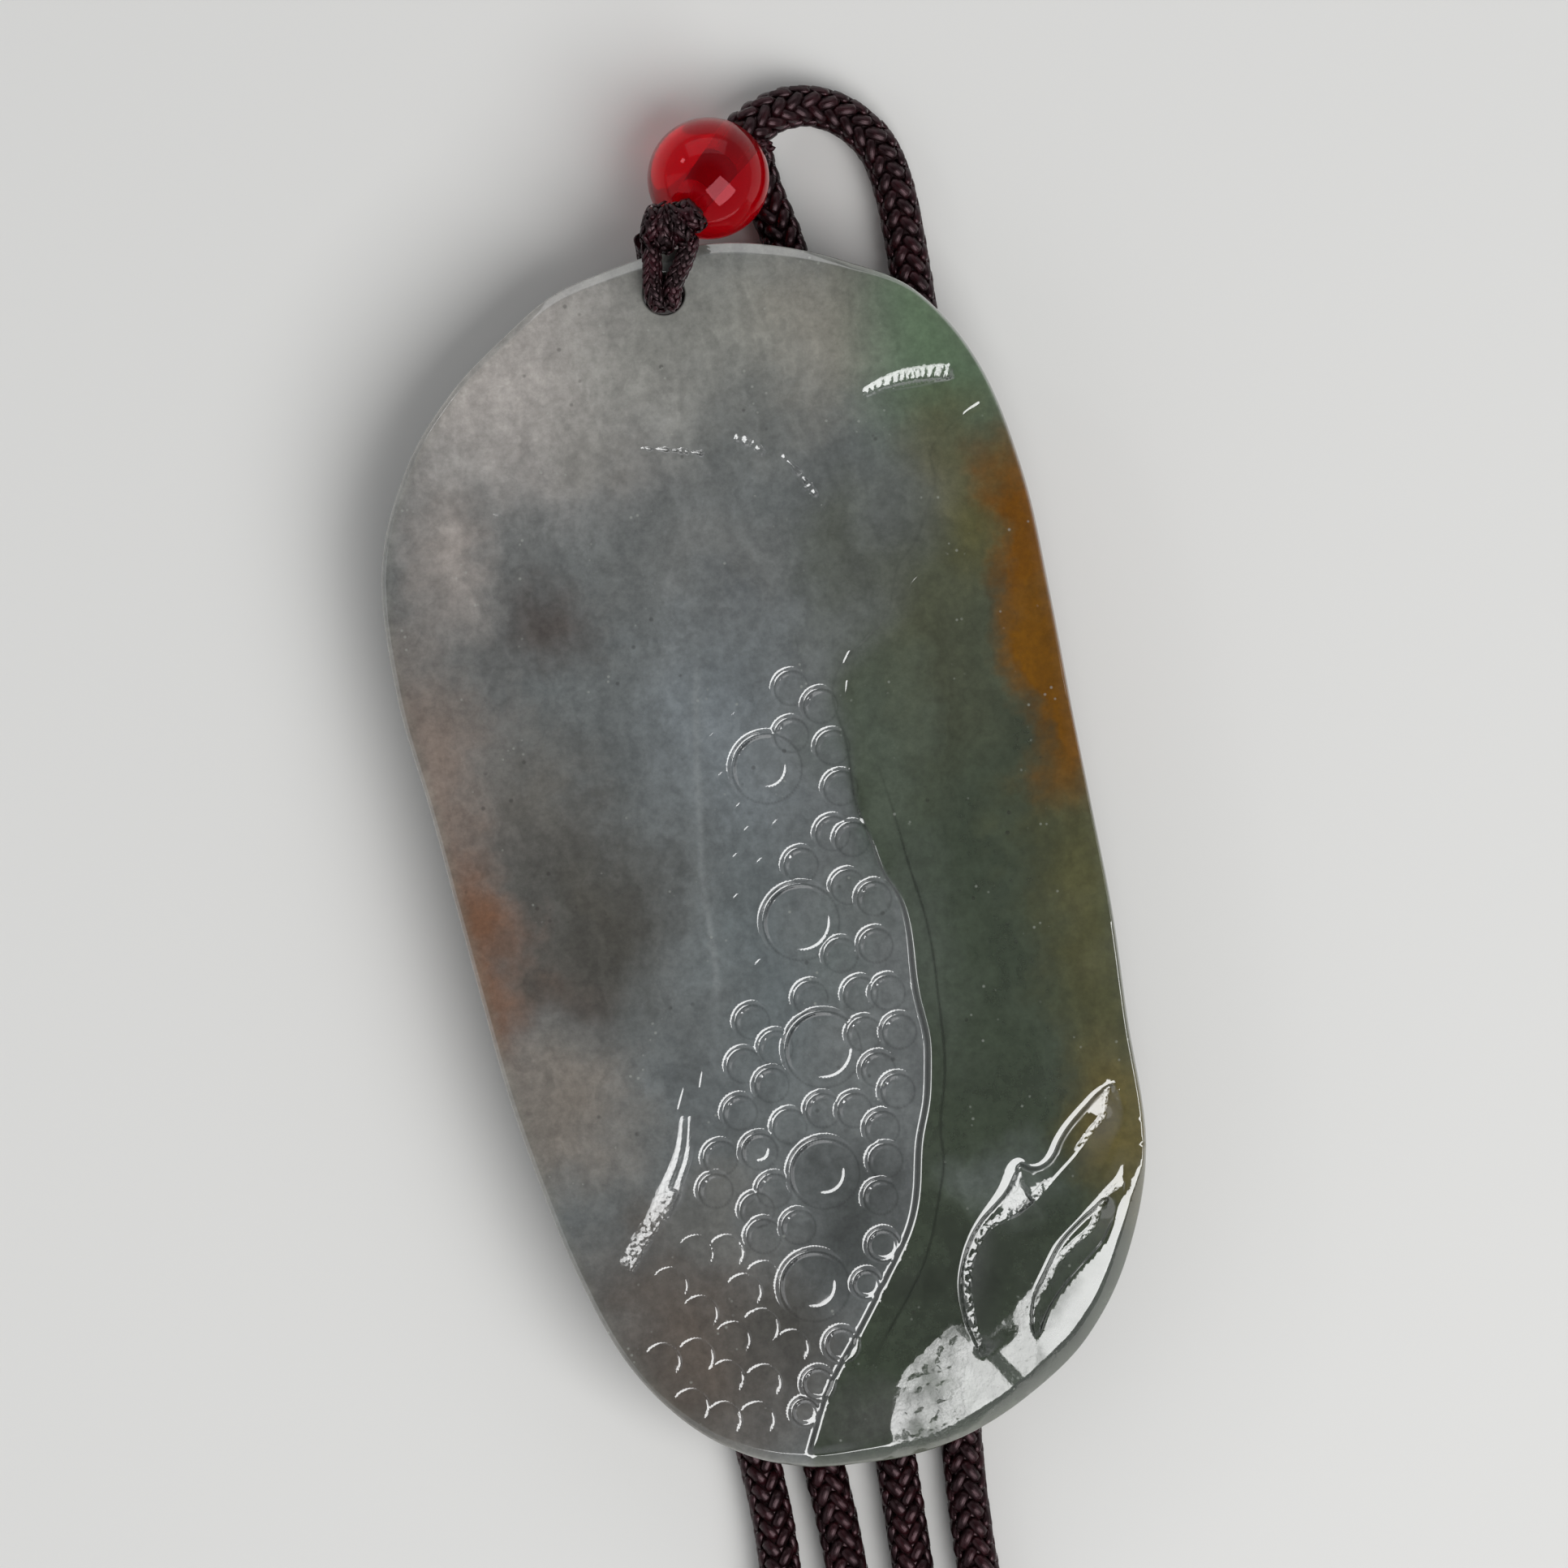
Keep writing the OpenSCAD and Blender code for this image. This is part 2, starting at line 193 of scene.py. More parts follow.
def new_group(name, kind, inputs, outputs):
    """A node group with its named sockets, and its input and output nodes."""
    tree = bpy.data.node_groups.new(name, kind)
    for label, socket, value in inputs:
        made = tree.interface.new_socket(label, in_out="INPUT", socket_type=socket)
        if value is not None:
            made.default_value = value
    for label, socket in outputs:
        tree.interface.new_socket(label, in_out="OUTPUT", socket_type=socket)
    return tree, tree.nodes.new("NodeGroupInput").outputs, tree.nodes.new("NodeGroupOutput")


# %% [markdown]
# ## The braid
# The cord is braided from many thin strands, which show as slanting stitches in ribs,
# each leaning the other way from its neighbour. Hundreds of interwoven curves would be
# heavy. Here one small stitch is modelled, and a tree of Geometry Nodes lays it on every
# second crossing of a tube's rings and ribs, which is the order of a round braid. A dark
# core closes the gaps. The same tree, with smaller sizes, makes the thin thread.


# %% One stitch
def stitch_object(name, length, width, thick, cord_r, lean, tuck=0.12):
    """A bulging stitch along X that hugs a round cord, with one end tucked under.

    Its section has corners at some angles, and stands at three shares of its length.
    """
    sides, rows = (-25, 35, 90, 145, 205), (-0.27, 0, 0.27)
    bm = bmesh.new()
    uv = bm.loops.layers.uv.new("UVMap")

    def hug(x, y, z):
        drop = (x * math.sin(lean)) ** 2 + (y * math.cos(lean)) ** 2
        return bm.verts.new(Vector((x, y, z + tuck * x - drop / (2 * cord_r))) * MM)

    tips = [hug(s * length / 2, 0, -0.2 * thick) for s in (-1, 1)]
    rings = []
    for row in rows:
        full = math.sqrt(1 - (1.5 * row) ** 2)
        rings.append([
            hug(row * length, full * width / 2 * math.cos(math.radians(a)),
                full * thick / 2 * math.sin(math.radians(a)))
            for a in sides
        ])
    faces = []
    for j in range(len(sides)):
        k = (j + 1) % len(sides)
        faces.append((tips[0], rings[0][k], rings[0][j]))
        faces.append((tips[1], rings[-1][j], rings[-1][k]))
        for a, b in zip(rings, rings[1:]):
            faces.append((a[j], a[k], b[k], b[j]))
    for corners in faces:
        face = bm.faces.new(corners)
        face.smooth = True
        for loop in face.loops:
            x, y, _ = loop.vert.co / MM
            loop[uv].uv = (x / length + 0.5, y / width + 0.5)
    bmesh.ops.recalc_face_normals(bm, faces=bm.faces)
    mesh = bpy.data.meshes.new(name)
    bm.to_mesh(mesh)
    bm.free()
    return bpy.data.objects.new(name, mesh)


# %% The braid's tree of Geometry Nodes
FLOAT, WHOLE = "NodeSocketFloat", "NodeSocketInt"
BRAID_INPUTS = [
    ("Geometry", "NodeSocketGeometry", None), ("Radius", FLOAT, 0.001),
    ("Core radius", FLOAT, 0.0009), ("Stitch pitch", FLOAT, 0.001), ("Ribs", WHOLE, 8),
    ("Lean", FLOAT, 0.8), ("Unevenness", FLOAT, 0.1), ("Seed", WHOLE, 1),
    ("Stitch", "NodeSocketObject", None), ("Material", "NodeSocketMaterial", None),
]
braid_tree, given, result = new_group(
    "braid", "GeometryNodeTree", BRAID_INPUTS, [("Geometry", "NodeSocketGeometry")]
)


def braid_node(kind, inputs=None, **settings):
    return add_node(braid_tree, kind, inputs, **settings)


def braid_sum(operation, *values):
    return calculate(braid_tree, operation, *values)


def guide_points(step):
    """The guide line with a point at each step of its length."""
    inputs = {"Curve": given["Geometry"], "Length": step}
    return braid_node("GeometryNodeResampleCurve", inputs, mode="LENGTH").outputs[0]


def tube_along(line, radius, **more):
    circle = braid_node(
        "GeometryNodeCurvePrimitiveCircle", {"Resolution": given["Ribs"], "Radius": radius}
    )
    inputs = {"Curve": line, "Profile Curve": circle.outputs[0], **more}
    return braid_node("GeometryNodeCurveToMesh", inputs).outputs[0]


# The tube keeps, at each of its points, the ring's middle and the way of the line there
position = braid_node("GeometryNodeInputPosition").outputs[0]
capture = braid_node("GeometryNodeCaptureAttribute", domain="POINT")
capture.capture_items.new("VECTOR", "Middle")
capture.capture_items.new("VECTOR", "Along")
to_capture = (
    guide_points(braid_sum("MULTIPLY", given["Stitch pitch"], 0.5)), position,
    braid_node("GeometryNodeInputTangent").outputs[0],
)
for i, socket in enumerate(to_capture):
    braid_tree.links.new(socket, capture.inputs[i])
tube = tube_along(capture.outputs[0], given["Radius"])
index = braid_node("GeometryNodeInputIndex").outputs[0]
rib = braid_sum("MODULO", index, given["Ribs"])
ring = braid_sum("FLOOR", braid_sum("DIVIDE", index, given["Ribs"]))
crossing = braid_sum("MODULO", braid_sum("ADD", rib, ring), 2)
rib_side = braid_sum("MULTIPLY_ADD", braid_sum("MODULO", rib, 2), -2, 1)
upright = braid_node(
    "FunctionNodeAxesToRotation",
    {0: of_vectors(braid_tree, "SUBTRACT", position, capture.outputs[1]), 1: capture.outputs[2]},
    primary_axis="Z", secondary_axis="X",
)
lean_turn = braid_node(
    "FunctionNodeAxisAngleToRotation",
    {"Axis": (0, 0, 1), "Angle": braid_sum("MULTIPLY", given["Lean"], rib_side)},
)
turned = braid_node(
    "FunctionNodeRotateRotation",
    {0: upright.outputs[0], 1: lean_turn.outputs[0]}, rotation_space="LOCAL",
)
smallest = braid_node(
    "ShaderNodeCombineXYZ", {i: braid_sum("SUBTRACT", 1, given["Unevenness"]) for i in range(3)}
)
uneven = braid_node(
    "FunctionNodeRandomValue",
    {0: smallest.outputs[0], 1: (1, 1, 1), "Seed": given["Seed"]}, data_type="FLOAT_VECTOR",
)
stitch_shape = braid_node("GeometryNodeObjectInfo", {"Object": given["Stitch"]})
stitches = braid_node(
    "GeometryNodeInstanceOnPoints",
    {
        "Points": tube, "Selection": braid_sum("LESS_THAN", crossing, 0.5),
        "Instance": stitch_shape.outputs["Geometry"],
        "Rotation": turned.outputs[0], "Scale": uneven.outputs[0],
    },
)
core = tube_along(guide_points(given["Stitch pitch"]), given["Core radius"], **{"Fill Caps": True})
joined = braid_node("GeometryNodeJoinGeometry")
for part in (stitches.outputs[0], core):
    braid_tree.links.new(part, joined.inputs[0])
real = braid_node("GeometryNodeRealizeInstances", {0: joined.outputs[0]})
painted = braid_node(
    "GeometryNodeSetMaterial", {"Geometry": real.outputs[0], "Material": given["Material"]}
)
braid_tree.links.new(painted.outputs[0], result.inputs[0])
print("braid tree:", len(braid_tree.nodes), "nodes")


# %% From a line to a braided mesh
def braided(name, lines, values):
    """Lays the braid along each line and returns it as one plain mesh object."""
    curve = bpy.data.curves.new(name, "CURVE")
    curve.dimensions = "3D"
    for line in lines:
        spline = curve.splines.new("POLY")
        spline.points.add(len(line) - 1)
        flat = np.hstack([np.asarray(line) * MM, np.ones((len(line), 1))])
        spline.points.foreach_set("co", flat.ravel())
    guide = bpy.data.objects.new(name + "_line", curve)
    bpy.context.collection.objects.link(guide)
    modifier = guide.modifiers.new("braid", "NODES")
    modifier.node_group = braid_tree
    for item in braid_tree.interface.items_tree:
        if item.in_out == "INPUT" and item.name in values:
            modifier[item.identifier] = values[item.name]
    evaluated = guide.evaluated_get(bpy.context.evaluated_depsgraph_get())
    mesh = bpy.data.meshes.new_from_object(evaluated)
    mesh.name = name
    mesh.polygons.foreach_set("use_smooth", [True] * len(mesh.polygons))
    bpy.data.objects.remove(guide)
    made = bpy.data.objects.new(name, mesh)
    bpy.context.collection.objects.link(made)
    mesh.calc_loop_triangles()
    print(name, len(mesh.loop_triangles), "triangles")
    return made


# %% [markdown]
# ## The braid's finish
# The strands are waxed polyester, nearly black, with a warm maroon cast, and they shine
# along their length. Each stitch has its own UV map, so fine filaments can run along it.
# They are a stretched noise that darkens and dents the strand. A second, slow noise makes
# some stitches redder than others.


# %% Braid material
def principled(name, **values):
    """A new material, its tree and its Principled BSDF with the given sockets set."""
    material = bpy.data.materials.new(name)
    material.use_nodes = True
    shader = material.node_tree.nodes["Principled BSDF"]
    for socket, value in values.items():
        shader.inputs[socket.replace("_", " ")].default_value = value
    return material, material.node_tree, shader


def feed(shader, tree, sockets):
    for name, value in sockets.items():
        tree.links.new(value, shader.inputs[name])


def noise(tree, vector, scale, detail=2, **more):
    return add_node(
        tree, "ShaderNodeTexNoise", {"Vector": vector, "Scale": scale, "Detail": detail, **more}
    ).outputs["Fac"]


def stretched(tree, vector, scale):
    return add_node(tree, "ShaderNodeMapping", {"Vector": vector, "Scale": scale}).outputs[0]


def remap(tree, value, low, high, to_low=0, to_high=1):
    return add_node(
        tree, "ShaderNodeMapRange",
        {"Value": value, "From Min": low, "From Max": high, "To Min": to_low, "To Max": to_high},
        interpolation_type="SMOOTHSTEP",
    ).outputs[0]


def mix(tree, share, a, b):
    made = add_node(tree, "ShaderNodeMix", {"Factor": share}, data_type="RGBA")
    for place_in, colour in ((6, a), (7, b)):
        if isinstance(colour, bpy.types.NodeSocket):
            tree.links.new(colour, made.inputs[place_in])
        else:
            made.inputs[place_in].default_value = (*colour, 1)
    return made.outputs[2]


def dented(tree, height, strength, distance):
    inputs = {"Strength": strength, "Distance": distance, "Height": height}
    return add_node(tree, "ShaderNodeBump", inputs).outputs[0]


def strand_material(name, dark, light):
    material, tree, shader = principled(
        name, Roughness=0.3, Sheen_Weight=0.02, Sheen_Roughness=0.4,
        Sheen_Tint=(1, 0.7, 0.72, 1), Specular_IOR_Level=0.4, Specular_Tint=(1, 0.68, 0.74, 1),
    )
    where = tree.nodes.new("ShaderNodeTexCoord").outputs
    filament = noise(tree, stretched(tree, where["UV"], (1.5, 14, 1)), 1.0, 3)
    cast = remap(tree, noise(tree, where["Object"], 900, 1), 0.4, 0.65)
    shade = remap(tree, filament, 0.3, 0.7)
    feed(shader, tree, {
        "Base Color": mix(tree, shade, [0.45 * c for c in dark], mix(tree, cast, dark, light)),
        "Normal": dented(tree, filament, 0.35, 0.00008),
        "Roughness": remap(tree, filament, 0.2, 0.8, 0.32, 0.16),
    })
    return material


cord_finish = strand_material("cord", (0.007, 0.0015, 0.002), (0.026, 0.005, 0.007))
thread_finish = strand_material("thread", (0.004, 0.001, 0.001), (0.034, 0.003, 0.007))

# %% [markdown]
# ## The neck cord
# The tree runs along the route that was printed above. The cord replaces the plain tube of
# the CAD model. It is a limp, loose cord of its real length that comes back to the object
# it left.

# %% Neck cord
STITCH_LEAN = math.radians(31)
cord_stitch = stitch_object("cord_stitch", 2.0, 0.88, 0.56, 1.15, STITCH_LEAN)
neck_cord = braided(
    "neck_cord_braid", [cord_line],
    {
        "Radius": 1.08 * MM, "Core radius": 0.98 * MM, "Stitch pitch": 1.12 * MM, "Ribs": 8,
        "Lean": STITCH_LEAN, "Unevenness": 0.2, "Seed": 4,
        "Stitch": cord_stitch, "Material": cord_finish,
    },
)

# %% [markdown]
# ## The hanging thread and its knot
# A thinner braid of the same yarn is doubled. Its two strands come out of a wound knot,
# lie over the plaque's front edge, go down the drilled hole and come up behind. They
# follow nearly the same points as the CAD tubes. The knot is four uneven turns round a
# slanting axis, and its tail runs down the bead's bore.

# %% Thread lines
HOLE = (-0.3, 33.6)
HOLE_D = 2.4
THREAD_D = 1.05
# Columns: where a strand leaves the knot, where it comes up behind, from the hole's middle
STRAND_TOPS = [(-0.3, -0.65), (2.05, 0.45)]


def strand(side, top, behind):
    """The CAD model's line of one strand. side is -1 for the left one, 1 for the right."""
    inset, y = 2.5, 2.5 + THREAD_D / 2
    x, over, under = side * 0.565, RIM_Z + 0.75 * THREAD_D, -HALF_T - 0.65 * THREAD_D
    points = [
        (top, inset + 0.25, over + 0.2), ((top + x) / 2, inset - 1.1, over), (x, 0.2, over),
        (0.7 * x, -0.5, RIM_Z + 0.35), (0.75 * x, -0.42, RIM_Z - 0.3), (0.9 * x, -0.25, 0),
        (x, 0, 0.3 - HALF_T), (x, 0.5, under),
        (behind, inset - 0.4, under), (behind, y + 0.1, 0.2 - HALF_T), (behind, y + 0.3, -1),
        (behind, y + 0.3, 0.7),
    ]
    return [(HOLE[0] + px, HOLE[1] + py, pz) for px, py, pz in points]


KNOT = np.array([0.9, 37.5, 3.35])
KNOT_TIP = math.radians(10)
knot_axis = np.array([math.cos(KNOT_TIP), 0, math.sin(KNOT_TIP)])
knot_up = np.array([-math.sin(KNOT_TIP), 0, math.cos(KNOT_TIP)])


def wound(turns, half_z, steps=24):
    """A winding round the knot's axis. A turn has its place on the axis, reach and middle."""
    line, count = [], len(turns)
    crossing = np.repeat(np.arange(count), 2) + np.tile((0.15, 0.85), count)
    at = np.arange(count * steps + 1) / steps
    columns = [np.interp(at, crossing, np.repeat(column, 2)) for column in zip(*turns)]
    for i, (station, half_y, middle) in enumerate(zip(*columns)):
        a = 2 * math.pi * (i / steps - 0.5)
        line.append(
            KNOT + station * (1 - 0.22 * math.sin(a)) * knot_axis
            + (middle + half_y * math.sin(a)) * np.array([0, 1, 0]) + half_z * math.cos(a) * knot_up
        )
    return line


# Columns: place along the knot's axis, reach up and down, middle
TURNS = [(-1.2, 0.68, 0.05), (-0.5, 0.95, -0.18), (0.42, 0.8, -0.12), (1.15, 0.45, 0.28)]
BEAD = np.array([3.4, 40.0, -0.2])
BEAD_D = 7.2
BORE_D = 1.5
BORE_TURN, BORE_DIP = math.radians(44), math.radians(30)
bore = np.array([
    math.cos(BORE_TURN) * math.cos(BORE_DIP), math.sin(BORE_TURN) * math.cos(BORE_DIP),
    -math.sin(BORE_DIP),
])
tail = [BEAD + bore * at for at in np.linspace(-BEAD_D / 2 - 1.1, BEAD_D / 2 - 0.25, 12)]
# The tail's short end shows beside the cord
nub = [(6.35, 41.55, -1.9), (7.05, 41.15, -1.7)]

# %% Thread pieces
THREAD_LEAN = math.radians(28)
thread_stitch = stitch_object("thread_stitch", 1.1, 0.40, 0.17, 0.5, THREAD_LEAN)
knot_stitch = stitch_object("knot_stitch", 1.1, 0.42, 0.17, 0.54, THREAD_LEAN)
thread_values = {
    "Radius": 0.52 * MM, "Core radius": 0.49 * MM, "Stitch pitch": 0.52 * MM, "Ribs": 8,
    "Lean": THREAD_LEAN, "Unevenness": 0.2, "Seed": 7,
    "Stitch": thread_stitch, "Material": thread_finish,
}
strand_lines = [
    smooth_line(strand(side, *tops), 0.15) for side, tops in zip((-1, 1), STRAND_TOPS)
]
hanging_thread = braided("hanging_thread_braid", strand_lines, thread_values)
knot_values = {
    **thread_values, "Radius": 0.56 * MM, "Core radius": 0.52 * MM,
    "Stitch": knot_stitch, "Seed": 11,
}
thread_knot = braided(
    "thread_knot_braid",
    [smooth_line(wound(TURNS, 0.62), 0.15), smooth_line(tail + nub, 0.2)],
    knot_values,
)

# %% [markdown]
# ## The glass bead
# The bead is a ball of clear red glass with a drilled bore. Its section is drawn once,
# from the bore's wall over a small chamfer to the round outside, and turned round the
# bore. Glass shows what is behind it, bent, so the pale table does most of the work. The
# bore is ground, as a drill leaves it. Its middle is painted dark, a painted image of the
# thread seen through the glass.


# %% Bead mesh
def solid_object(name, points, faces):
    """A smooth mesh object from points in mm, with all its faces turned outwards."""
    mesh = bpy.data.meshes.new(name)
    mesh.from_pydata([tuple(c * MM for c in point) for point in points], [], faces)
    bm = bmesh.new()
    bm.from_mesh(mesh)
    bmesh.ops.recalc_face_normals(bm, faces=bm.faces)
    open_edges = sum(len(edge.link_faces) != 2 for edge in bm.edges)
    bm.to_mesh(mesh)
    bm.free()
    mesh.polygons.foreach_set("use_smooth", [True] * len(mesh.polygons))
    mesh.calc_loop_triangles()
    print(name, len(mesh.loop_triangles), "triangles,", open_edges, "open edges")
    made = bpy.data.objects.new(name, mesh)
    bpy.context.collection.objects.link(made)
    return made


def turned_about(name, middle, axis, section, steps):
    """Turns a closed section of (distance along the axis, radius) points into a mesh."""
    side = np.cross(axis, (0, 0, 1))
    side /= np.linalg.norm(side)
    other = np.cross(axis, side)
    points, faces, n = [], [], len(section)
    for i in range(steps):
        a = 2 * math.pi * i / steps
        out = math.cos(a) * side + math.sin(a) * other
        points += [middle + s * axis + r * out for s, r in section]
    for i in range(steps):
        for j in range(n):
            k, m = (j + 1) % n, (i + 1) % steps
            faces.append((i * n + j, i * n + k, m * n + k, m * n + j))
    return solid_object(name, points, faces)


BEAD_CHAMFER = 0.15
SHARP_FROM = math.radians(35)
mouth = math.asin((BORE_D / 2 + BEAD_CHAMFER) / (BEAD_D / 2))
bead_section = [
    (-BEAD_D / 2 * math.cos(a), BEAD_D / 2 * math.sin(a))
    for a in np.linspace(mouth, math.pi - mouth, 56)
]
end = bead_section[-1][0] - BEAD_CHAMFER
bead_section += [(s, BORE_D / 2) for s in np.linspace(end, -end, 12)]
glass_bead = turned_about("glass_bead_ball", BEAD, bore, bead_section, 96)
glass_bead.data.set_sharp_from_angle(angle=SHARP_FROM)

# %% Bead material
glass, _, _ = principled(
    "red_glass", Base_Color=(0.74, 0.0, 0.008, 1), Roughness=0.02, IOR=1.5,
    Transmission_Weight=0.85, Specular_Tint=(1, 0.3, 0.35, 1),
)
ground_bore, _, _ = principled(
    "ground_bore", Base_Color=(0.70, 0.0, 0.008, 1), Roughness=0.7, IOR=1.5,
    Transmission_Weight=0.95,
)
# Painted dark: the bore's middle is nearly black, standing for the thread seen through the glass
painted_dark_bore, _, _ = principled("painted_dark_bore", Base_Color=(0.04, 0.0, 0.001, 1), Roughness=0.8)
DARK_REACH = 0.75
bead_mesh = glass_bead.data
for material in (glass, ground_bore, painted_dark_bore):
    bead_mesh.materials.append(material)
for face in bead_mesh.polygons:
    from_middle = np.array(face.center) / MM - BEAD
    along = from_middle @ bore
    if np.linalg.norm(from_middle - along * bore) < BORE_D / 2:
        face.material_index = 2 if abs(along) < DARK_REACH else 1
print(sum(face.material_index > 0 for face in bead_mesh.polygons), "faces in the bore")

# %% [markdown]
# ## The plaque's outline
# The outline is an ellipse whose radius is stretched or drawn in at each angle. The short
# table and the cubic curve between its rows are the same as in the CAD source, so the fine
# mesh fills the same box as the solid it replaces.

# %% Outline
PLAQUE_L, PLAQUE_W = 72.2, 39.4
# One share of the ellipse's radius at every 10 degrees, counted from the right side
OUTLINE = [
    0.990, 0.995, 1.035, 1.100, 1.145, 1.135, 1.080, 1.040, 1.015, 1.000, 1.000, 1.020,
    1.040, 1.080, 1.120, 1.130, 1.060, 0.970, 0.925, 0.910, 0.920, 0.940, 0.975, 1.010,
    1.020, 1.015, 1.005, 1.000, 1.015, 1.040, 1.075, 1.120, 1.145, 1.135, 1.055, 1.015,
]
ROUND_STEPS = 720


def closed_cubic(values, at):
    """Catmull-Rom through values that repeat, at places counted in rows."""
    values = np.asarray(values, float)
    i = np.floor(at).astype(int)
    f = at - i
    a, b, c, d = (values[(i + k) % len(values)] for k in (-1, 0, 1, 2))
    return b + f / 2 * (c - a + f * (2 * a - 5 * b + 4 * c - d + f * (3 * (b - c) + d - a)))


turn_at = np.arange(ROUND_STEPS) / ROUND_STEPS
ellipse = np.stack(
    [PLAQUE_W / 2 * np.cos(2 * np.pi * turn_at), PLAQUE_L / 2 * np.sin(2 * np.pi * turn_at)], 1
)
outline = ellipse * closed_cubic(OUTLINE, turn_at * len(OUTLINE))[:, None]
low, high = outline.min(0), outline.max(0)
outline = (outline - (low + high) / 2) * np.array([PLAQUE_W, PLAQUE_L]) / (high - low)
edge = np.roll(outline, -1, 0) - np.roll(outline, 1, 0)
outward = np.stack([edge[:, 1], -edge[:, 0]], 1) / np.linalg.norm(edge, axis=1)[:, None]
polar = np.unwrap(np.arctan2(outline[:, 1], outline[:, 0]))
polar_r = np.linalg.norm(outline, axis=1)
steepness = (outward * outline).sum(1) / polar_r
# Columns: angle round the plaque, width of the polished rim, how steeply it falls
RIM = [
    (0, 0.12, 2.5), (50, 0.18, 2.2), (75, 0.7, 0.45), (90, 0.7, 0.45), (130, 0.3, 0.9),
    (170, 0.2, 1.2), (235, 0.25, 0.9), (265, 0.8, 0.8), (290, 1.1, 0.8), (306, 1.1, 0.9),
    (314, 0.95, 1.0), (320, 0.9, 1.1), (325, 0.7, 1.3), (328.5, 0.2, 2.3), (332, 0.15, 2.5),
    (360, 0.12, 2.5),
]
rim_angle, rim_width, rim_fall = zip(*RIM)
rim_fall = np.interp(360 * turn_at, rim_angle, np.multiply(rim_fall, rim_width))
rim_width = np.interp(360 * turn_at, rim_angle, rim_width)


def round_plaque(points, values):
    """Reads a quantity that is known along the outline at each point's own direction."""
    angle = np.arctan2(points[:, 1], points[:, 0]) - polar[0]
    return np.interp(angle % (2 * np.pi), polar - polar[0], values, period=2 * np.pi)


print("outline box %.1f x %.1f mm" % tuple(outline.max(0) - outline.min(0)))

# %% [markdown]
# ## The carving, as lines
# The relief is low: a stem with a cut edge and a groove beside it, rows of scales pressed
# with a ring-shaped burr, larger rosettes, two leaves, and a few short strokes. Every cut
# follows a line, so each is noted as a few spots, in pixels of the picture that the camera
# takes. Depths and widths are guessed from how wide and how bright the cuts look.

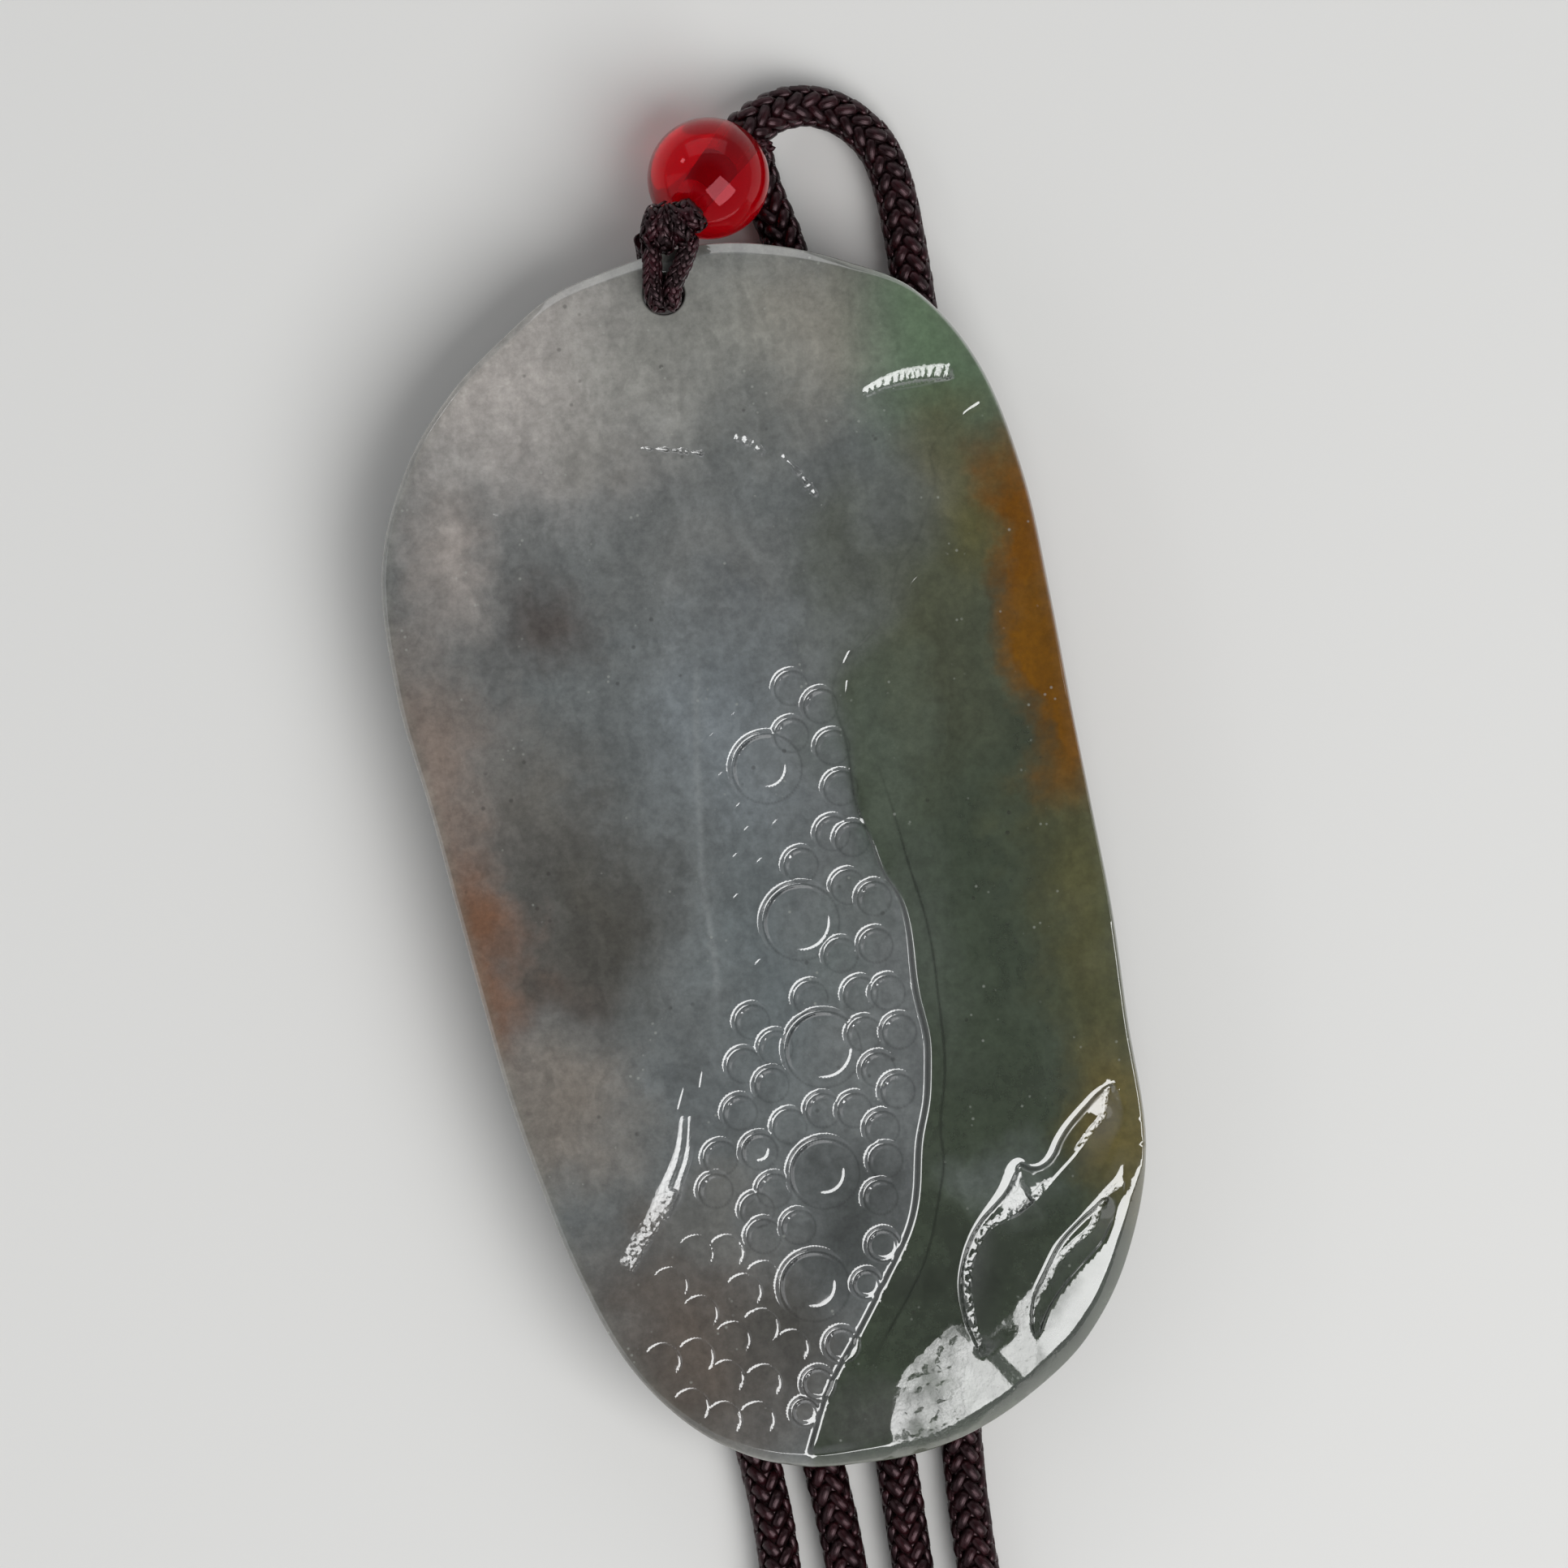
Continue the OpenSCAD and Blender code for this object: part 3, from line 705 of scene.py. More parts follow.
# %% Carved lines
LINES = {
    "stem_right": [
        (1209, 494), (1184, 512), (1158, 538), (1146, 559), (1152, 586), (1142, 625),
        (1129, 665), (1106, 698), (1096, 748), (1076, 778), (1046, 808), (1030, 831),
        (1026, 858), (1039, 901), (1048, 950), (1057, 998), (1074, 1037), (1089, 1076),
        (1106, 1102), (1116, 1129), (1123, 1177), (1130, 1230), (1142, 1281), (1143, 1313),
        (1141, 1359), (1133, 1402), (1130, 1458), (1122, 1507), (1096, 1566), (1069, 1620),
        (1045, 1665), (1021, 1711), (1008, 1751), (998, 1786),
    ],
    "groove": [
        (1078, 930), (1094, 979), (1106, 1017), (1120, 1066), (1133, 1105), (1150, 1177),
        (1157, 1235), (1163, 1286), (1163, 1342), (1159, 1395), (1163, 1427), (1158, 1470),
        (1147, 1529), (1126, 1585), (1101, 1630), (1072, 1684),
    ],
    "stem_left": [
        (862, 740), (858, 900), (862, 1000), (868, 1100), (882, 1200), (880, 1270), (868, 1320),
    ],
    "gouge": [(846, 1372), (842, 1420), (830, 1457), (812, 1495), (792, 1525), (768, 1568)],
    "stroke_a": [(867, 1310), (862, 1343)],
    "stroke_b": [(844, 1335), (835, 1370)],
    "arch": [(788, 553), (826, 555), (877, 561)],
    "arch_top": [(904, 539), (925, 547), (944, 561)],
    "arch_end": [(962, 560), (985, 583), (1004, 608), (1021, 628)],
    "recess": [(1060, 487), (1082, 475), (1107, 466), (1140, 460), (1178, 457)],
    "recess_foot": [(1061, 489), (1095, 480), (1140, 471), (1178, 462)],
    "crescent_a": [(517, 760), (538, 736), (574, 727)],
    "crescent_b": [(508, 802), (520, 775)],
    "wave": [(492, 697), (545, 666), (586, 640), (649, 640), (733, 650)],
    "tick_a": [(866, 586), (882, 589)],
    "tick_b": [(864, 614), (884, 618)],
    "tick_c": [(692, 630), (712, 632)],
    "tick_d": [(606, 634), (620, 637)],
    "tick_e": [(1185, 511), (1209, 495)],
    "tick_f": [(1039, 818), (1047, 801)],
    "tick_g": [(1042, 858), (1044, 836)],
    "tick_h": [(1119, 733), (1123, 720), (1133, 709)],
    "hair": [(1292, 905), (1304, 922), (1307, 945), (1300, 968)],
    "leaf_1": [
        (1369, 1331), (1352, 1340), (1332, 1360), (1312, 1383), (1296, 1409), (1283, 1431),
        (1272, 1435), (1262, 1428), (1252, 1427), (1244, 1432), (1233, 1456), (1219, 1479),
        (1203, 1502), (1191, 1525), (1183, 1552), (1179, 1579), (1180, 1598), (1185, 1622),
        (1193, 1645), (1200, 1659),
    ],
    "crease_1": [
        (1368, 1337), (1364, 1360), (1361, 1377), (1350, 1391), (1336, 1410), (1316, 1434),
        (1297, 1455), (1283, 1472), (1268, 1486), (1252, 1498), (1236, 1506), (1219, 1516),
        (1208, 1532), (1200, 1552), (1196, 1575), (1197, 1598), (1200, 1618), (1205, 1642),
        (1222, 1672),
    ],
    "leaf_2": [
        (1382, 1433), (1377, 1446), (1364, 1462), (1349, 1479), (1332, 1496), (1316, 1512),
        (1302, 1529), (1291, 1549), (1282, 1568), (1274, 1585), (1269, 1605), (1268, 1625),
        (1271, 1642), (1276, 1656),
    ],
    "crease_2": [
        (1382, 1462), (1367, 1472), (1355, 1496), (1349, 1512), (1332, 1529), (1316, 1544),
        (1302, 1562), (1292, 1582), (1282, 1598), (1275, 1615), (1274, 1635), (1277, 1654),
    ],
    "ridge": [
        (1384, 1440), (1383, 1470), (1377, 1490), (1368, 1507), (1357, 1529), (1341, 1548),
        (1324, 1567), (1308, 1586), (1296, 1604), (1286, 1625), (1280, 1648), (1277, 1675),
        (1272, 1700),
    ],
    "ridge_out": [
        (1389, 1440), (1391, 1468), (1386, 1500), (1379, 1527), (1372, 1551), (1360, 1577),
        (1337, 1614), (1311, 1651), (1298, 1675), (1290, 1700),
    ],
}
LINES = {
    name: smooth_line([place(*p) for p in line], 0.25) for name, line in LINES.items()
}

# Large rosettes. Columns: middle across and down, ring radius, inner ring radius
ROSETTES = [
    (945, 947, 43, 24), (987, 1136, 47, 36), (1014, 1293, 47, 36), (1016, 1446, 43, 25),
    (1004, 1585, 43, 26), (936, 1419, 22, 12),
]
# Small domes along the stem's edge. Columns: middle across and down, ring radius
DOMES = [(1088, 1534, 19), (1068, 1582, 17), (1037, 1657, 20), (1008, 1705, 19), (992, 1740, 16)]
# Scales that are deepest towards the upper left. Columns: middle across and down
SCALES = [
    (975, 848), (1011, 870), (1026, 921), (1036, 971), (1026, 1027), (1050, 1034),
    (987, 1066), (1045, 1093), (1077, 1107), (975, 906), (1036, 1177), (1079, 1165),
    (999, 1230), (1060, 1225), (1094, 1223), (927, 1259), (1065, 1274), (1108, 1271),
    (956, 1291), (917, 1313), (951, 1337), (1082, 1318), (1106, 1344), (912, 1371),
    (973, 1388), (1014, 1368), (1053, 1368), (1087, 1390), (888, 1427), (1091, 1430),
    (1085, 1475), (882, 1467), (954, 1467), (933, 1491), (941, 1523), (984, 1512),
]
# Scales that arch over the top, like those of a fish
ARCHED = [
    (858, 1545), (895, 1545), (826, 1585), (917, 1593), (941, 1577), (863, 1620),
    (903, 1652), (938, 1636), (817, 1679), (858, 1673), (895, 1700), (941, 1705),
    (975, 1662), (852, 1735), (892, 1751), (933, 1751),
]
# Scales of which only a short stroke at the upper left is cut
FAINT = [
    (919, 895), (892, 921), (903, 969), (925, 1007), (935, 1036), (921, 1069), (970, 1028),
    (922, 1119), (949, 1200), (951, 1075),
]
SCALE_R = 21
print(len(LINES), "lines and", len(SCALES + ARCHED + FAINT + DOMES + ROSETTES), "rings")

# %% [markdown]
# ## The carving, as depths
# A depth for any spot is worked out from its distance to the lines. A wall that is steep
# in the middle and rounded at both ends catches a lamp twice, which gives the thin double
# lights of real carving. So the basic shape is a ramp with rounded ends. The broad bright
# cuts are facets, ground so that they turn their faces to the window.


# %% Ramps and distances
# The way to the window and the way across it, seen from above
LIGHT_WAY = np.array([0.58, -0.81])
ACROSS_LIGHT = np.array([-LIGHT_WAY[1], LIGHT_WAY[0]])


def ramp(x, rounding=0.3):
    """From 0 to 1 with a straight middle and rounded ends."""
    x = np.clip(x, 0, 1)
    slope = 1 / (1 - rounding)
    foot, head = slope * x**2 / (2 * rounding), 1 - slope * (1 - x) ** 2 / (2 * rounding)
    middle = slope * (x - rounding / 2)
    return np.where(x < rounding, foot, np.where(x > 1 - rounding, head, middle))


def soft_slope(x, run, slope):
    """A slope that begins softly over a run."""
    x = np.clip(x, 0, None)
    return slope * np.where(x < run, x**2 / (2 * run), x - run / 2)


def tapered(share, ends=0.25):
    """Fades a cut out at both its ends."""
    return ramp(np.minimum(share, 1 - share) / ends)


def to_line(points, line, reach=1.0):
    """Distance to a line, which side of it (1 is right of its way), and the share along."""
    best = np.full(len(points), 1e3)
    side, share = np.zeros(len(points)), np.zeros(len(points))
    length = np.append(0, np.cumsum(np.linalg.norm(np.diff(line, axis=0), axis=1)))
    close = (points > line.min(0) - reach) & (points < line.max(0) + reach)
    near = np.flatnonzero(close.all(1))
    spots = points[near]
    for i, (a, b) in enumerate(zip(line, line[1:])):
        way = b - a
        f = np.clip((spots - a) @ way / (way @ way), 0, 1)
        off = spots - a - f[:, None] * way
        distance = np.linalg.norm(off, axis=1)
        nearer = distance < best[near]
        chosen = near[nearer]
        best[chosen] = distance[nearer]
        side[chosen] = np.sign(off[:, 0] * way[1] - off[:, 1] * way[0])[nearer]
        share[chosen] = ((length[i] + f * (length[i + 1] - length[i])) / length[-1])[nearer]
    return best, side, share


def beside(points, name):
    """Distance to a line that runs down the plaque, positive on its right."""
    line = LINES[name][np.argsort(LINES[name][:, 1])]
    across = points[:, 0] - np.interp(points[:, 1], line[:, 1], line[:, 0])
    return np.sign(across) * np.minimum(np.abs(across), to_line(points, line, 2)[0])


# %% One stroke and one ring
FACET_SHARE = 0.8


def stroke(points, name, width, slope, teeth=0):
    """A cut with a long facet that falls towards the window, and a short steep way back.

    Teeth above 0 break it up: into facets one after the other if it runs along the light,
    and into shallow and deep spells if it runs across. Teeth below 0 part its first half
    into that many strands.
    """
    line = LINES[name]
    distance, side, share = to_line(points, line)
    way = line[-1] - line[0]
    across = distance * side * np.sign(way[1] * LIGHT_WAY[0] - way[0] * LIGHT_WAY[1])
    length = np.linalg.norm(way)
    width = width * (0.6 + 0.4 * ramp(share / 0.6))
    u, size, body = np.clip(across / width + 0.5, 0, 1), width, 1
    uneven = share * abs(teeth) + 0.45 * np.sin(11 * share)
    if teeth > 0 and abs(way @ LIGHT_WAY) > 0.6 * length:
        u, size = uneven % 1, length / teeth
        body = ramp(2 - 4 * distance / (width * (0.75 + 0.25 * np.sin(23 * share))))
    elif teeth > 0:
        body = 0.45 + 0.55 * ramp(2.2 * np.abs(2 * ((uneven + 0.7 * u) % 1) - 1))
    elif teeth < 0:
        strands = np.where(share < 0.45, -teeth, 1)
        u, size = u * strands % 1 * (u < 1), width / strands
        body = 1 - 0.7 * ramp((share - 0.4) / 0.3)
    facet = np.where(u < FACET_SHARE, u, FACET_SHARE * (1 - u) / (1 - FACET_SHARE))
    return slope * size * facet * body * tapered(share, np.clip(0.5 / length, 0.03, 0.15))


def ring_cut(points, middle, radius, depth, outer, inner, lean, way, open_at=-2.0):
    """A ring-shaped groove with an outer and an inner wall, deeper towards one way."""
    off = points - middle
    distance = np.linalg.norm(off, axis=1)
    s = distance - radius
    cut = np.where(s > 0, ramp(1 - s / outer), ramp(1 + s / inner))
    facing = off @ way / np.maximum(distance, 1e-6)
    strength = (1 - lean) + lean * np.clip((facing + 0.6) / 1.6, 0, 1) ** 1.5
    return depth * cut * strength * ramp((facing - open_at) / 0.5)


# %% One leaf
BEVEL_SLOPE = 0.18
SHELF = 0.3
# Share along the crease round which a leaf with a pause has no chips
PAUSE_AT = 0.29


def leaf_cut(points, outer, crease, depth, run, bevel, pause):
    """Depth, roughness and smoothness of a leaf, cut from its outer line to past its crease.

    A polished bevel comes first, then a steep wall, a chipped shelf along the crease, and a
    slow rise behind it. With a pause of 1, the chips stop for a while, the shelf is wider
    from there on, and the foot of the wall before it is smooth.
    """
    to_outer, side, along = to_line(points, LINES[outer], 4)
    to_crease, crease_side, share = to_line(points, LINES[crease], 4)
    before = crease_side > 0
    band = np.maximum(np.where(before, to_outer + to_crease, to_outer - to_crease), 0)
    width = np.interp(along, *zip(*bevel))
    ledge = SHELF + pause * 0.15 * ramp((share - 0.3) / 0.1)
    room = np.clip(band - width - ledge, 0.12, 0.25)

    def down(at):
        return BEVEL_SLOPE * np.minimum(at, width) + depth * ramp((at - width) / room, 0.06)

    at = share * np.linalg.norm(LINES[crease][-1] - LINES[crease][0])
    ragged_by = 0.3 * np.sin(9 * to_crease + 3 * np.sin(2.7 * at))
    chips = ramp(0.7 + 1.3 * np.sin(11 * at + 5 * ragged_by) * np.sin(4.3 * at + 1))
    kept = 1 - pause * ramp((0.11 - np.abs(share - PAUSE_AT)) / 0.07)
    shelf = BEVEL_SLOPE * np.clip(ledge - to_crease, 0, None) * (0.15 + 1.6 * chips) * kept
    wide = ramp((band - 1.5) / 0.5) * before * ramp((along - 0.36) / 0.04)
    shelf = shelf + 0.24 * np.clip(to_outer - width - 0.3, 0, 1.2) * wide
    rise = np.clip(1 - to_crease / (run * (0.4 + 0.6 * ramp(share / 0.4))), 0, 1) ** 1.2
    cut = np.where(before, down(to_outer) + shelf, (down(band) + BEVEL_SLOPE * ledge) * rise)
    past_tip = np.where(along > 0, 1, ramp(1 - to_outer / 0.1))
    on = (side < 0) * ramp((1 - share) / 0.05) * past_tip
    inner = np.clip(1 - np.abs(to_crease - ledge / 2) / (0.6 * ledge), 0, 1) * before
    floor = 0.5 * (to_outer > width + 0.25) * wide
    shallow = 0.45 + 0.55 * ramp(share / 0.12)
    grit = np.maximum(0.34 * ramp(2 * inner) * kept, floor) * on * ramp(share / 0.03)
    at_foot = (to_outer > width + 0.03) * (to_outer < width + room + 0.1) * (to_crease > ledge)
    smooth = at_foot * before * ramp((0.38 - along) / 0.03) * on
    return cut * on * shallow, grit, smooth


# %% [markdown]
# ## The rings of the carving
# Each ring is pressed with the same tool, but never quite as deep. One list holds all of
# them, so that the depth and the mesh points around them come from the same numbers.

# %% All rings
PX = 1 / PX_PER_MM
fish_way = 0.8 * view_up + 0.6 * view_right
rng = np.random.default_rng(12)
# Columns: middle, radius, depth, outer wall, inner wall, lean, way, open_at
RINGS = []


def press(x, y, radius, *walls):
    """Notes a ring whose middle and radius are given in pixels of the picture."""
    RINGS.append((place(x, y), radius * PX, *walls))


for x, y, radius, inner in ROSETTES:
    press(x, y, radius, 0.24, 0.32, 0.30, 1, -LIGHT_WAY)
    press(x, y, inner, 0.06, 0.14, 0.14, 1, LIGHT_WAY, 0.3)
for x, y, radius in DOMES:
    press(x, y, radius, 0.20, 0.28, 0.26, 0.6, -LIGHT_WAY)
for x, y in SCALES:
    press(x, y, SCALE_R, rng.uniform(0.15, 0.21), 0.28, 0.40, 1, -LIGHT_WAY)
for x, y in ARCHED:
    press(x, y, SCALE_R + 1, rng.uniform(0.035, 0.055), 0.09, 0.09, 0.1, fish_way, -0.3)
for x, y in FAINT:
    press(x, y, SCALE_R, 0.06, 0.12, 0.4, 0.6, -LIGHT_WAY, 0.8)
print(len(RINGS), "rings in all")

# %% Strokes, bevels and the foot
# Columns: line, width, slope of the facet, roughness, and teeth, or strands if negative
STROKES = [
    ("gouge", 1.4, 0.26, 0.85, -2), ("stroke_a", 0.2, 0.2, 0), ("stroke_b", 0.2, 0.2, 0),
    ("arch", 0.3, 0.4, 0.4, 8), ("arch_top", 0.7, 0.25, 0.4, 3), ("arch_end", 0.5, 0.25, 0.4, 6),
    ("recess", 1.0, 0.28, 0.5, 15), ("recess_foot", 0.28, 0.25, 0), ("crescent_a", 0.3, 0.12, 0),
    ("crescent_b", 0.2, 0.12, 0), ("wave", 0.7, 0.03, 0.2), ("hair", 0.06, 0.2, 0),
    ("tick_a", 0.12, 0.2, 0), ("tick_b", 0.12, 0.2, 0), ("tick_c", 0.15, 0.2, 0),
    ("tick_d", 0.2, 0.2, 0.5), ("tick_e", 0.25, 0.2, 0), ("tick_f", 0.16, 0.25, 0),
    ("tick_g", 0.16, 0.25, 0), ("tick_h", 0.12, 0.2, 0),
]
# Columns: share along the leaf's outer line, width of its bevel
LEAF_1_BEVEL = [
    (0, 0.16), (0.1, 0.24), (0.28, 0.3), (0.34, 0.14), (0.39, 0.3), (0.43, 0.6), (0.5, 0.48),
    (0.6, 0.22), (0.7, 0.14), (1, 0.13),
]
LEAF_2_BEVEL = [(0, 0.3), (0.06, 0.6), (0.12, 0.6), (0.2, 0.26), (0.3, 0.15), (1, 0.12)]
# Columns: share along the ridge, slope of the facet between the ridge and its outer line
RIDGE_SLOPE = [(0, 0.35), (0.1, 0.24), (0.35, 0.2), (0.6, 0.18), (1, 0.16)]
# Where the foot's facet starts, measured along LIGHT_WAY. Past the notch, measured across
# it, the facet starts FOOT_STEP further out.
FOOT_START, FOOT_STEP = 26.9, 2.0
NOTCH_AT = place(1225, 1690) @ ACROSS_LIGHT


# %% Depth of the whole carving
def between(y, low, high, run_low, run_high):
    """1 between two heights on the plaque, with a run at each over which it fades."""
    return ramp((y - low) / run_low) * ramp((high - y) / run_high)


def thin_line(distance, width):
    return np.exp(-((distance / width) ** 2))


def stem_cut(points):
    """Depth of the stem's two edges, and the painted shade along the right edge and its groove."""
    y = points[:, 1]
    right, groove_side = beside(points, "stem_right"), beside(points, "groove")
    lower = ramp((4 - y) / 16)
    wall = ramp(right / (0.22 + 0.22 * lower) + 0.5)
    on_stem, by_groove = between(y, -35.6, 24.8, 1.2, 2.5), between(y, -31, 7, 3, 10)
    rise = ramp((right - 0.4) / 5) * (1 - by_groove) + ramp((groove_side - 0.2) / 4) * by_groove
    depth = (0.015 + 0.36 * lower) * wall * (1 - 0.75 * rise) * on_stem
    # Painted shade: a dark line along the stem's right edge, darker low down, and one along the
    # groove
    dark = thin_line(right, 0.09) * on_stem * (0.35 + 0.65 * ramp((12 - y) / 12))
    left = beside(points, "stem_left")
    depth += 0.06 * ramp(0.5 - left / 0.6) * ramp(1 + left / 9) * between(y, -13, 16, 4, 5)
    return depth, np.maximum(dark, thin_line(groove_side, 0.08) * by_groove)


def rings_cut(points):
    """Depth of all rings, and the painted shade along the line of each ring that is closed."""
    depth, dark = np.zeros((2, len(points)))
    for middle, radius, *walls in RINGS:
        near = np.flatnonzero(np.abs(points - middle).max(1) < radius + 1)
        cut = ring_cut(points[near], middle, radius, *walls)
        depth[near] = np.maximum(depth[near], cut)
        off = np.linalg.norm(points[near] - middle, axis=1) - radius
        closed = len(walls) < 6
        # Painted shade: a thin dark line along each closed ring
        dark[near] = np.maximum(dark[near], 0.55 * thin_line(off, 0.06) * closed)
    return depth, dark


def strokes_cut(points):
    """Depth and roughness of all strokes."""
    depth, rough = np.zeros((2, len(points)))
    for name, width, slope, roughness, *teeth in STROKES:
        cut = stroke(points, name, width, slope, *teeth)
        depth += cut
        along = 0.3 + 0.7 * ramp(to_line(points, LINES[name])[2] / 0.6)
        rough = np.maximum(rough, roughness * along * np.clip(4 * cut / (slope * width), 0, 1))
    return depth, rough


def leaves_cut(points, to_ridge, past_ridge):
    """Depth, roughness and dullness of both leaves. The second leaf ends at the ridge."""
    depth, rough, matt = np.zeros((3, len(points)))
    up_to_ridge = np.where(past_ridge, ramp(1 - to_ridge / 0.15), 1)
    for outer, crease, leaf_depth, run, bevel, pause, limit in (
        ("leaf_1", "crease_1", 0.42, 2.6, LEAF_1_BEVEL, 1, 1),
        ("leaf_2", "crease_2", 0.36, 1.5, LEAF_2_BEVEL, 0, up_to_ridge),
    ):
        cut, grit, smooth = leaf_cut(points, outer, crease, leaf_depth, run, bevel, pause)
        depth, rough = depth + cut * limit, np.maximum(rough, grit * limit)
        matt = np.maximum(matt, smooth * pause)
    return depth, rough, matt


def ridge_cut(points, to_ridge, past_ridge, share):
    """Depth of the facet from the ridge to its outer line, and the streaks beside it."""
    streaks = ramp((share - 0.3) / 0.3) * ramp(1.3 - to_ridge / 1.2) * past_ridge
    past_out, out_side, _ = to_line(points, LINES["ridge_out"], 3)
    on_facet = np.maximum(to_ridge - past_out * (out_side < 0), 0)
    slope = np.interp(share, *zip(*RIDGE_SLOPE))
    facet = np.where(past_ridge, soft_slope(on_facet, 0.06, slope), 0)
    return facet * ramp((share - 0.07) / 0.12), streaks


def foot_cut(points):
    """Depth, roughness and dullness of the polished, wavy facet at the foot."""
    x, y = points.T
    across, past_notch = picture_x(points), points @ ACROSS_LIGHT - NOTCH_AT
    past = points @ LIGHT_WAY - FOOT_START - FOOT_STEP * ramp(past_notch / 1.2)
    ragged = 0.15 * np.sin(7 * x + 3 * np.sin(5 * y)) + 0.2 * np.sin(2.1 * x - 3 * y)
    to_foot = past + ragged * thin_line(past, 0.7)
    on_foot = ramp((across - 1090) / 40) * (1 - ramp((past_notch - 2.8) / 6))
    waves = np.sin(1.9 * x + 1.3 * y + 2 * np.sin(0.8 * y)) + np.sin(2.3 * y - 0.9 * x)
    depth = (soft_slope(to_foot, 0.4, 0.14) + 0.006 * waves * ramp(to_foot + 0.5)) * on_foot
    mottled = (0.95 - 0.65 * ramp((across - 1150) / 60)) * ramp(to_foot + 0.3) * on_foot
    faded = 0.3 + 0.6 * np.maximum(1 - ramp((across - 1120) / 90), 1 - ramp(to_foot / 2.2))
    return depth, mottled, faded * ramp(to_foot + 0.6) * on_foot


def carved(points):
    """Depth of all cuts at each point, how rough it is, how much painted shade, and how dull its
    polish.
    """
    to_ridge, side, share = to_line(points, LINES["ridge"], 3)
    past_ridge = side < 0
    stem, stem_painted_shade = stem_cut(points)
    rings, rings_painted_shade = rings_cut(points)
    strokes, strokes_rough = strokes_cut(points)
    leaves, leaves_rough, leaves_matt = leaves_cut(points, to_ridge, past_ridge)
    facet, streaks = ridge_cut(points, to_ridge, past_ridge, share)
    foot, foot_rough, foot_matt = foot_cut(points)
    rough = np.maximum.reduce([strokes_rough, leaves_rough, 0.3 * streaks, foot_rough])
    matt = np.maximum.reduce([leaves_matt, 0.6 * streaks, foot_matt])
    dark = np.maximum(stem_painted_shade, rings_painted_shade)
    return stem + rings + strokes + leaves + facet + foot, rough, dark, matt


# %% [markdown]
# ## The plaque's mesh
# A plain grid fine enough for the thinnest cut would be far too heavy, and it would show
# steps across slanting lines. Here the points are laid where the shape needs them: rows
# beside every cut and round every ring, and a wide net between. A Delaunay
# triangulation joins them, and a height is worked out for each.


# %% Rows, nets and thinning
HOLE_CHAMFER = 0.08


def rows_beside(line, offsets, step):
    """Rows of points at some distances to both sides of a line."""
    fine = evenly(line, step)
    way = np.gradient(fine, axis=0)
    normal = np.stack([way[:, 1], -way[:, 0]], 1) / np.linalg.norm(way, axis=1)[:, None]
    return [fine + offset * normal for offset in offsets]


def both_sides(*steps):
    """Some distances on one side of a line, the line itself, and the same on the other."""
    return [-step for step in reversed(steps)] + [0, *steps]


def net(across, along, shift=0):
    """A net of points, with every second row moved sideways by the shift."""
    xs, ys = np.meshgrid(across, along)
    xs = xs + shift * (np.arange(len(xs)) % 2)[:, None]
    return np.stack([xs.ravel(), ys.ravel()], 1)


def circle(count):
    a = 2 * np.pi * np.arange(count) / count
    return np.stack([np.cos(a), np.sin(a)], 1)


def drawn_in(reach):
    """The outline, drawn in by a reach that is known at each of its points."""
    return outline - reach[:, None] * outward


def inside(points, margin):
    """Points that lie on the plaque and clear of its hole."""
    r = np.linalg.norm(points, axis=1)
    clear = np.linalg.norm(points - HOLE, axis=1) > HOLE_D / 2 + HOLE_CHAMFER + margin
    return points[(r < round_plaque(points, polar_r) - margin) & clear]


def thinned(groups):
    """Keeps each point that is no nearer to an earlier one than its group allows."""
    cells, kept, size = {}, [], 0.3
    for points, gap in groups:
        for x, y in points:
            i, j = int(x // size), int(y // size)
            free = all(
                (x - u) ** 2 + (y - v) ** 2 >= gap * gap
                for di in (-1, 0, 1) for dj in (-1, 0, 1)
                for u, v in cells.get((i + di, j + dj), ())
            )
            if free:
                cells.setdefault((i, j), []).append((x, y))
                kept.append((x, y))
    return np.array(kept)


# %% Points for the front
HOLE_STEPS = 96
RIM_ROWS = (0.3, 0.6, 0.85, 0.97, 1.05, 1.3)
OUTER_RIM_ROWS = (0.06, 0.15)
hole_circle = circle(HOLE_STEPS)
hole_mouth = np.array(HOLE) + (HOLE_D / 2 + HOLE_CHAMFER) * hole_circle
# Each group of points has the gap that it keeps to the points before it
border = [(outline, 0), (hole_mouth, 0), (hole_mouth + 0.06 * hole_circle, 0)]
border += [(drawn_in(share * rim_width), 0.033) for share in RIM_ROWS]
border += [(drawn_in(share * rim_width), 0.04) for share in OUTER_RIM_ROWS]
border.append((drawn_in(rim_width + 0.12), 0.06))
groups = []
for middle, radius, _, outer, inner, _, way, *open_at in RINGS:
    walls = [*np.linspace(outer, 0, round(outer / 0.045) + 1), *np.arange(-0.07, -inner, -0.07)]
    for s in [outer + 0.13, outer + 0.05, *walls, -inner, -inner - 0.06]:
        r = radius + s
        spots = middle + r * circle(max(12, round(2 * np.pi * r / 0.19)))
        facing = (spots - middle) @ way / r
        groups.append((spots[facing > open_at[0] - 0.2] if open_at else spots, 0.035))
# Columns: distance of the first and the last row from the line, number of rows
WIDE_CUTS = {
    "groove": (-0.4, 0.4, 7), "leaf_1": (-0.75, 0.06, 12), "leaf_2": (-0.65, 0.06, 11),
    "crease_1": (-0.12, 0.48, 8), "crease_2": (-0.12, 0.48, 8), "ridge": (-0.12, 0.12, 5),
    "ridge_out": (-0.12, 0.12, 5), "gouge": (-0.7, 0.7, 11), "recess": (-0.5, 0.5, 9),
}
SIDES = {name: np.linspace(*rows) for name, rows in WIDE_CUTS.items()}
SIDES["stem_right"] = both_sides(0.06, 0.12, 0.17, 0.22, 0.29, 0.4)
narrow = both_sides(0.05, 0.1, 0.16, 0.3)
FINE_LINES = ("crease_1", "crease_2", "recess", "arch", "arch_top", "arch_end", "gouge")
for name, line in LINES.items():
    rows = rows_beside(line, SIDES.get(name, narrow), 0.11 if name in FINE_LINES else 0.2)
    groups += [(row, 0.045) for row in rows]
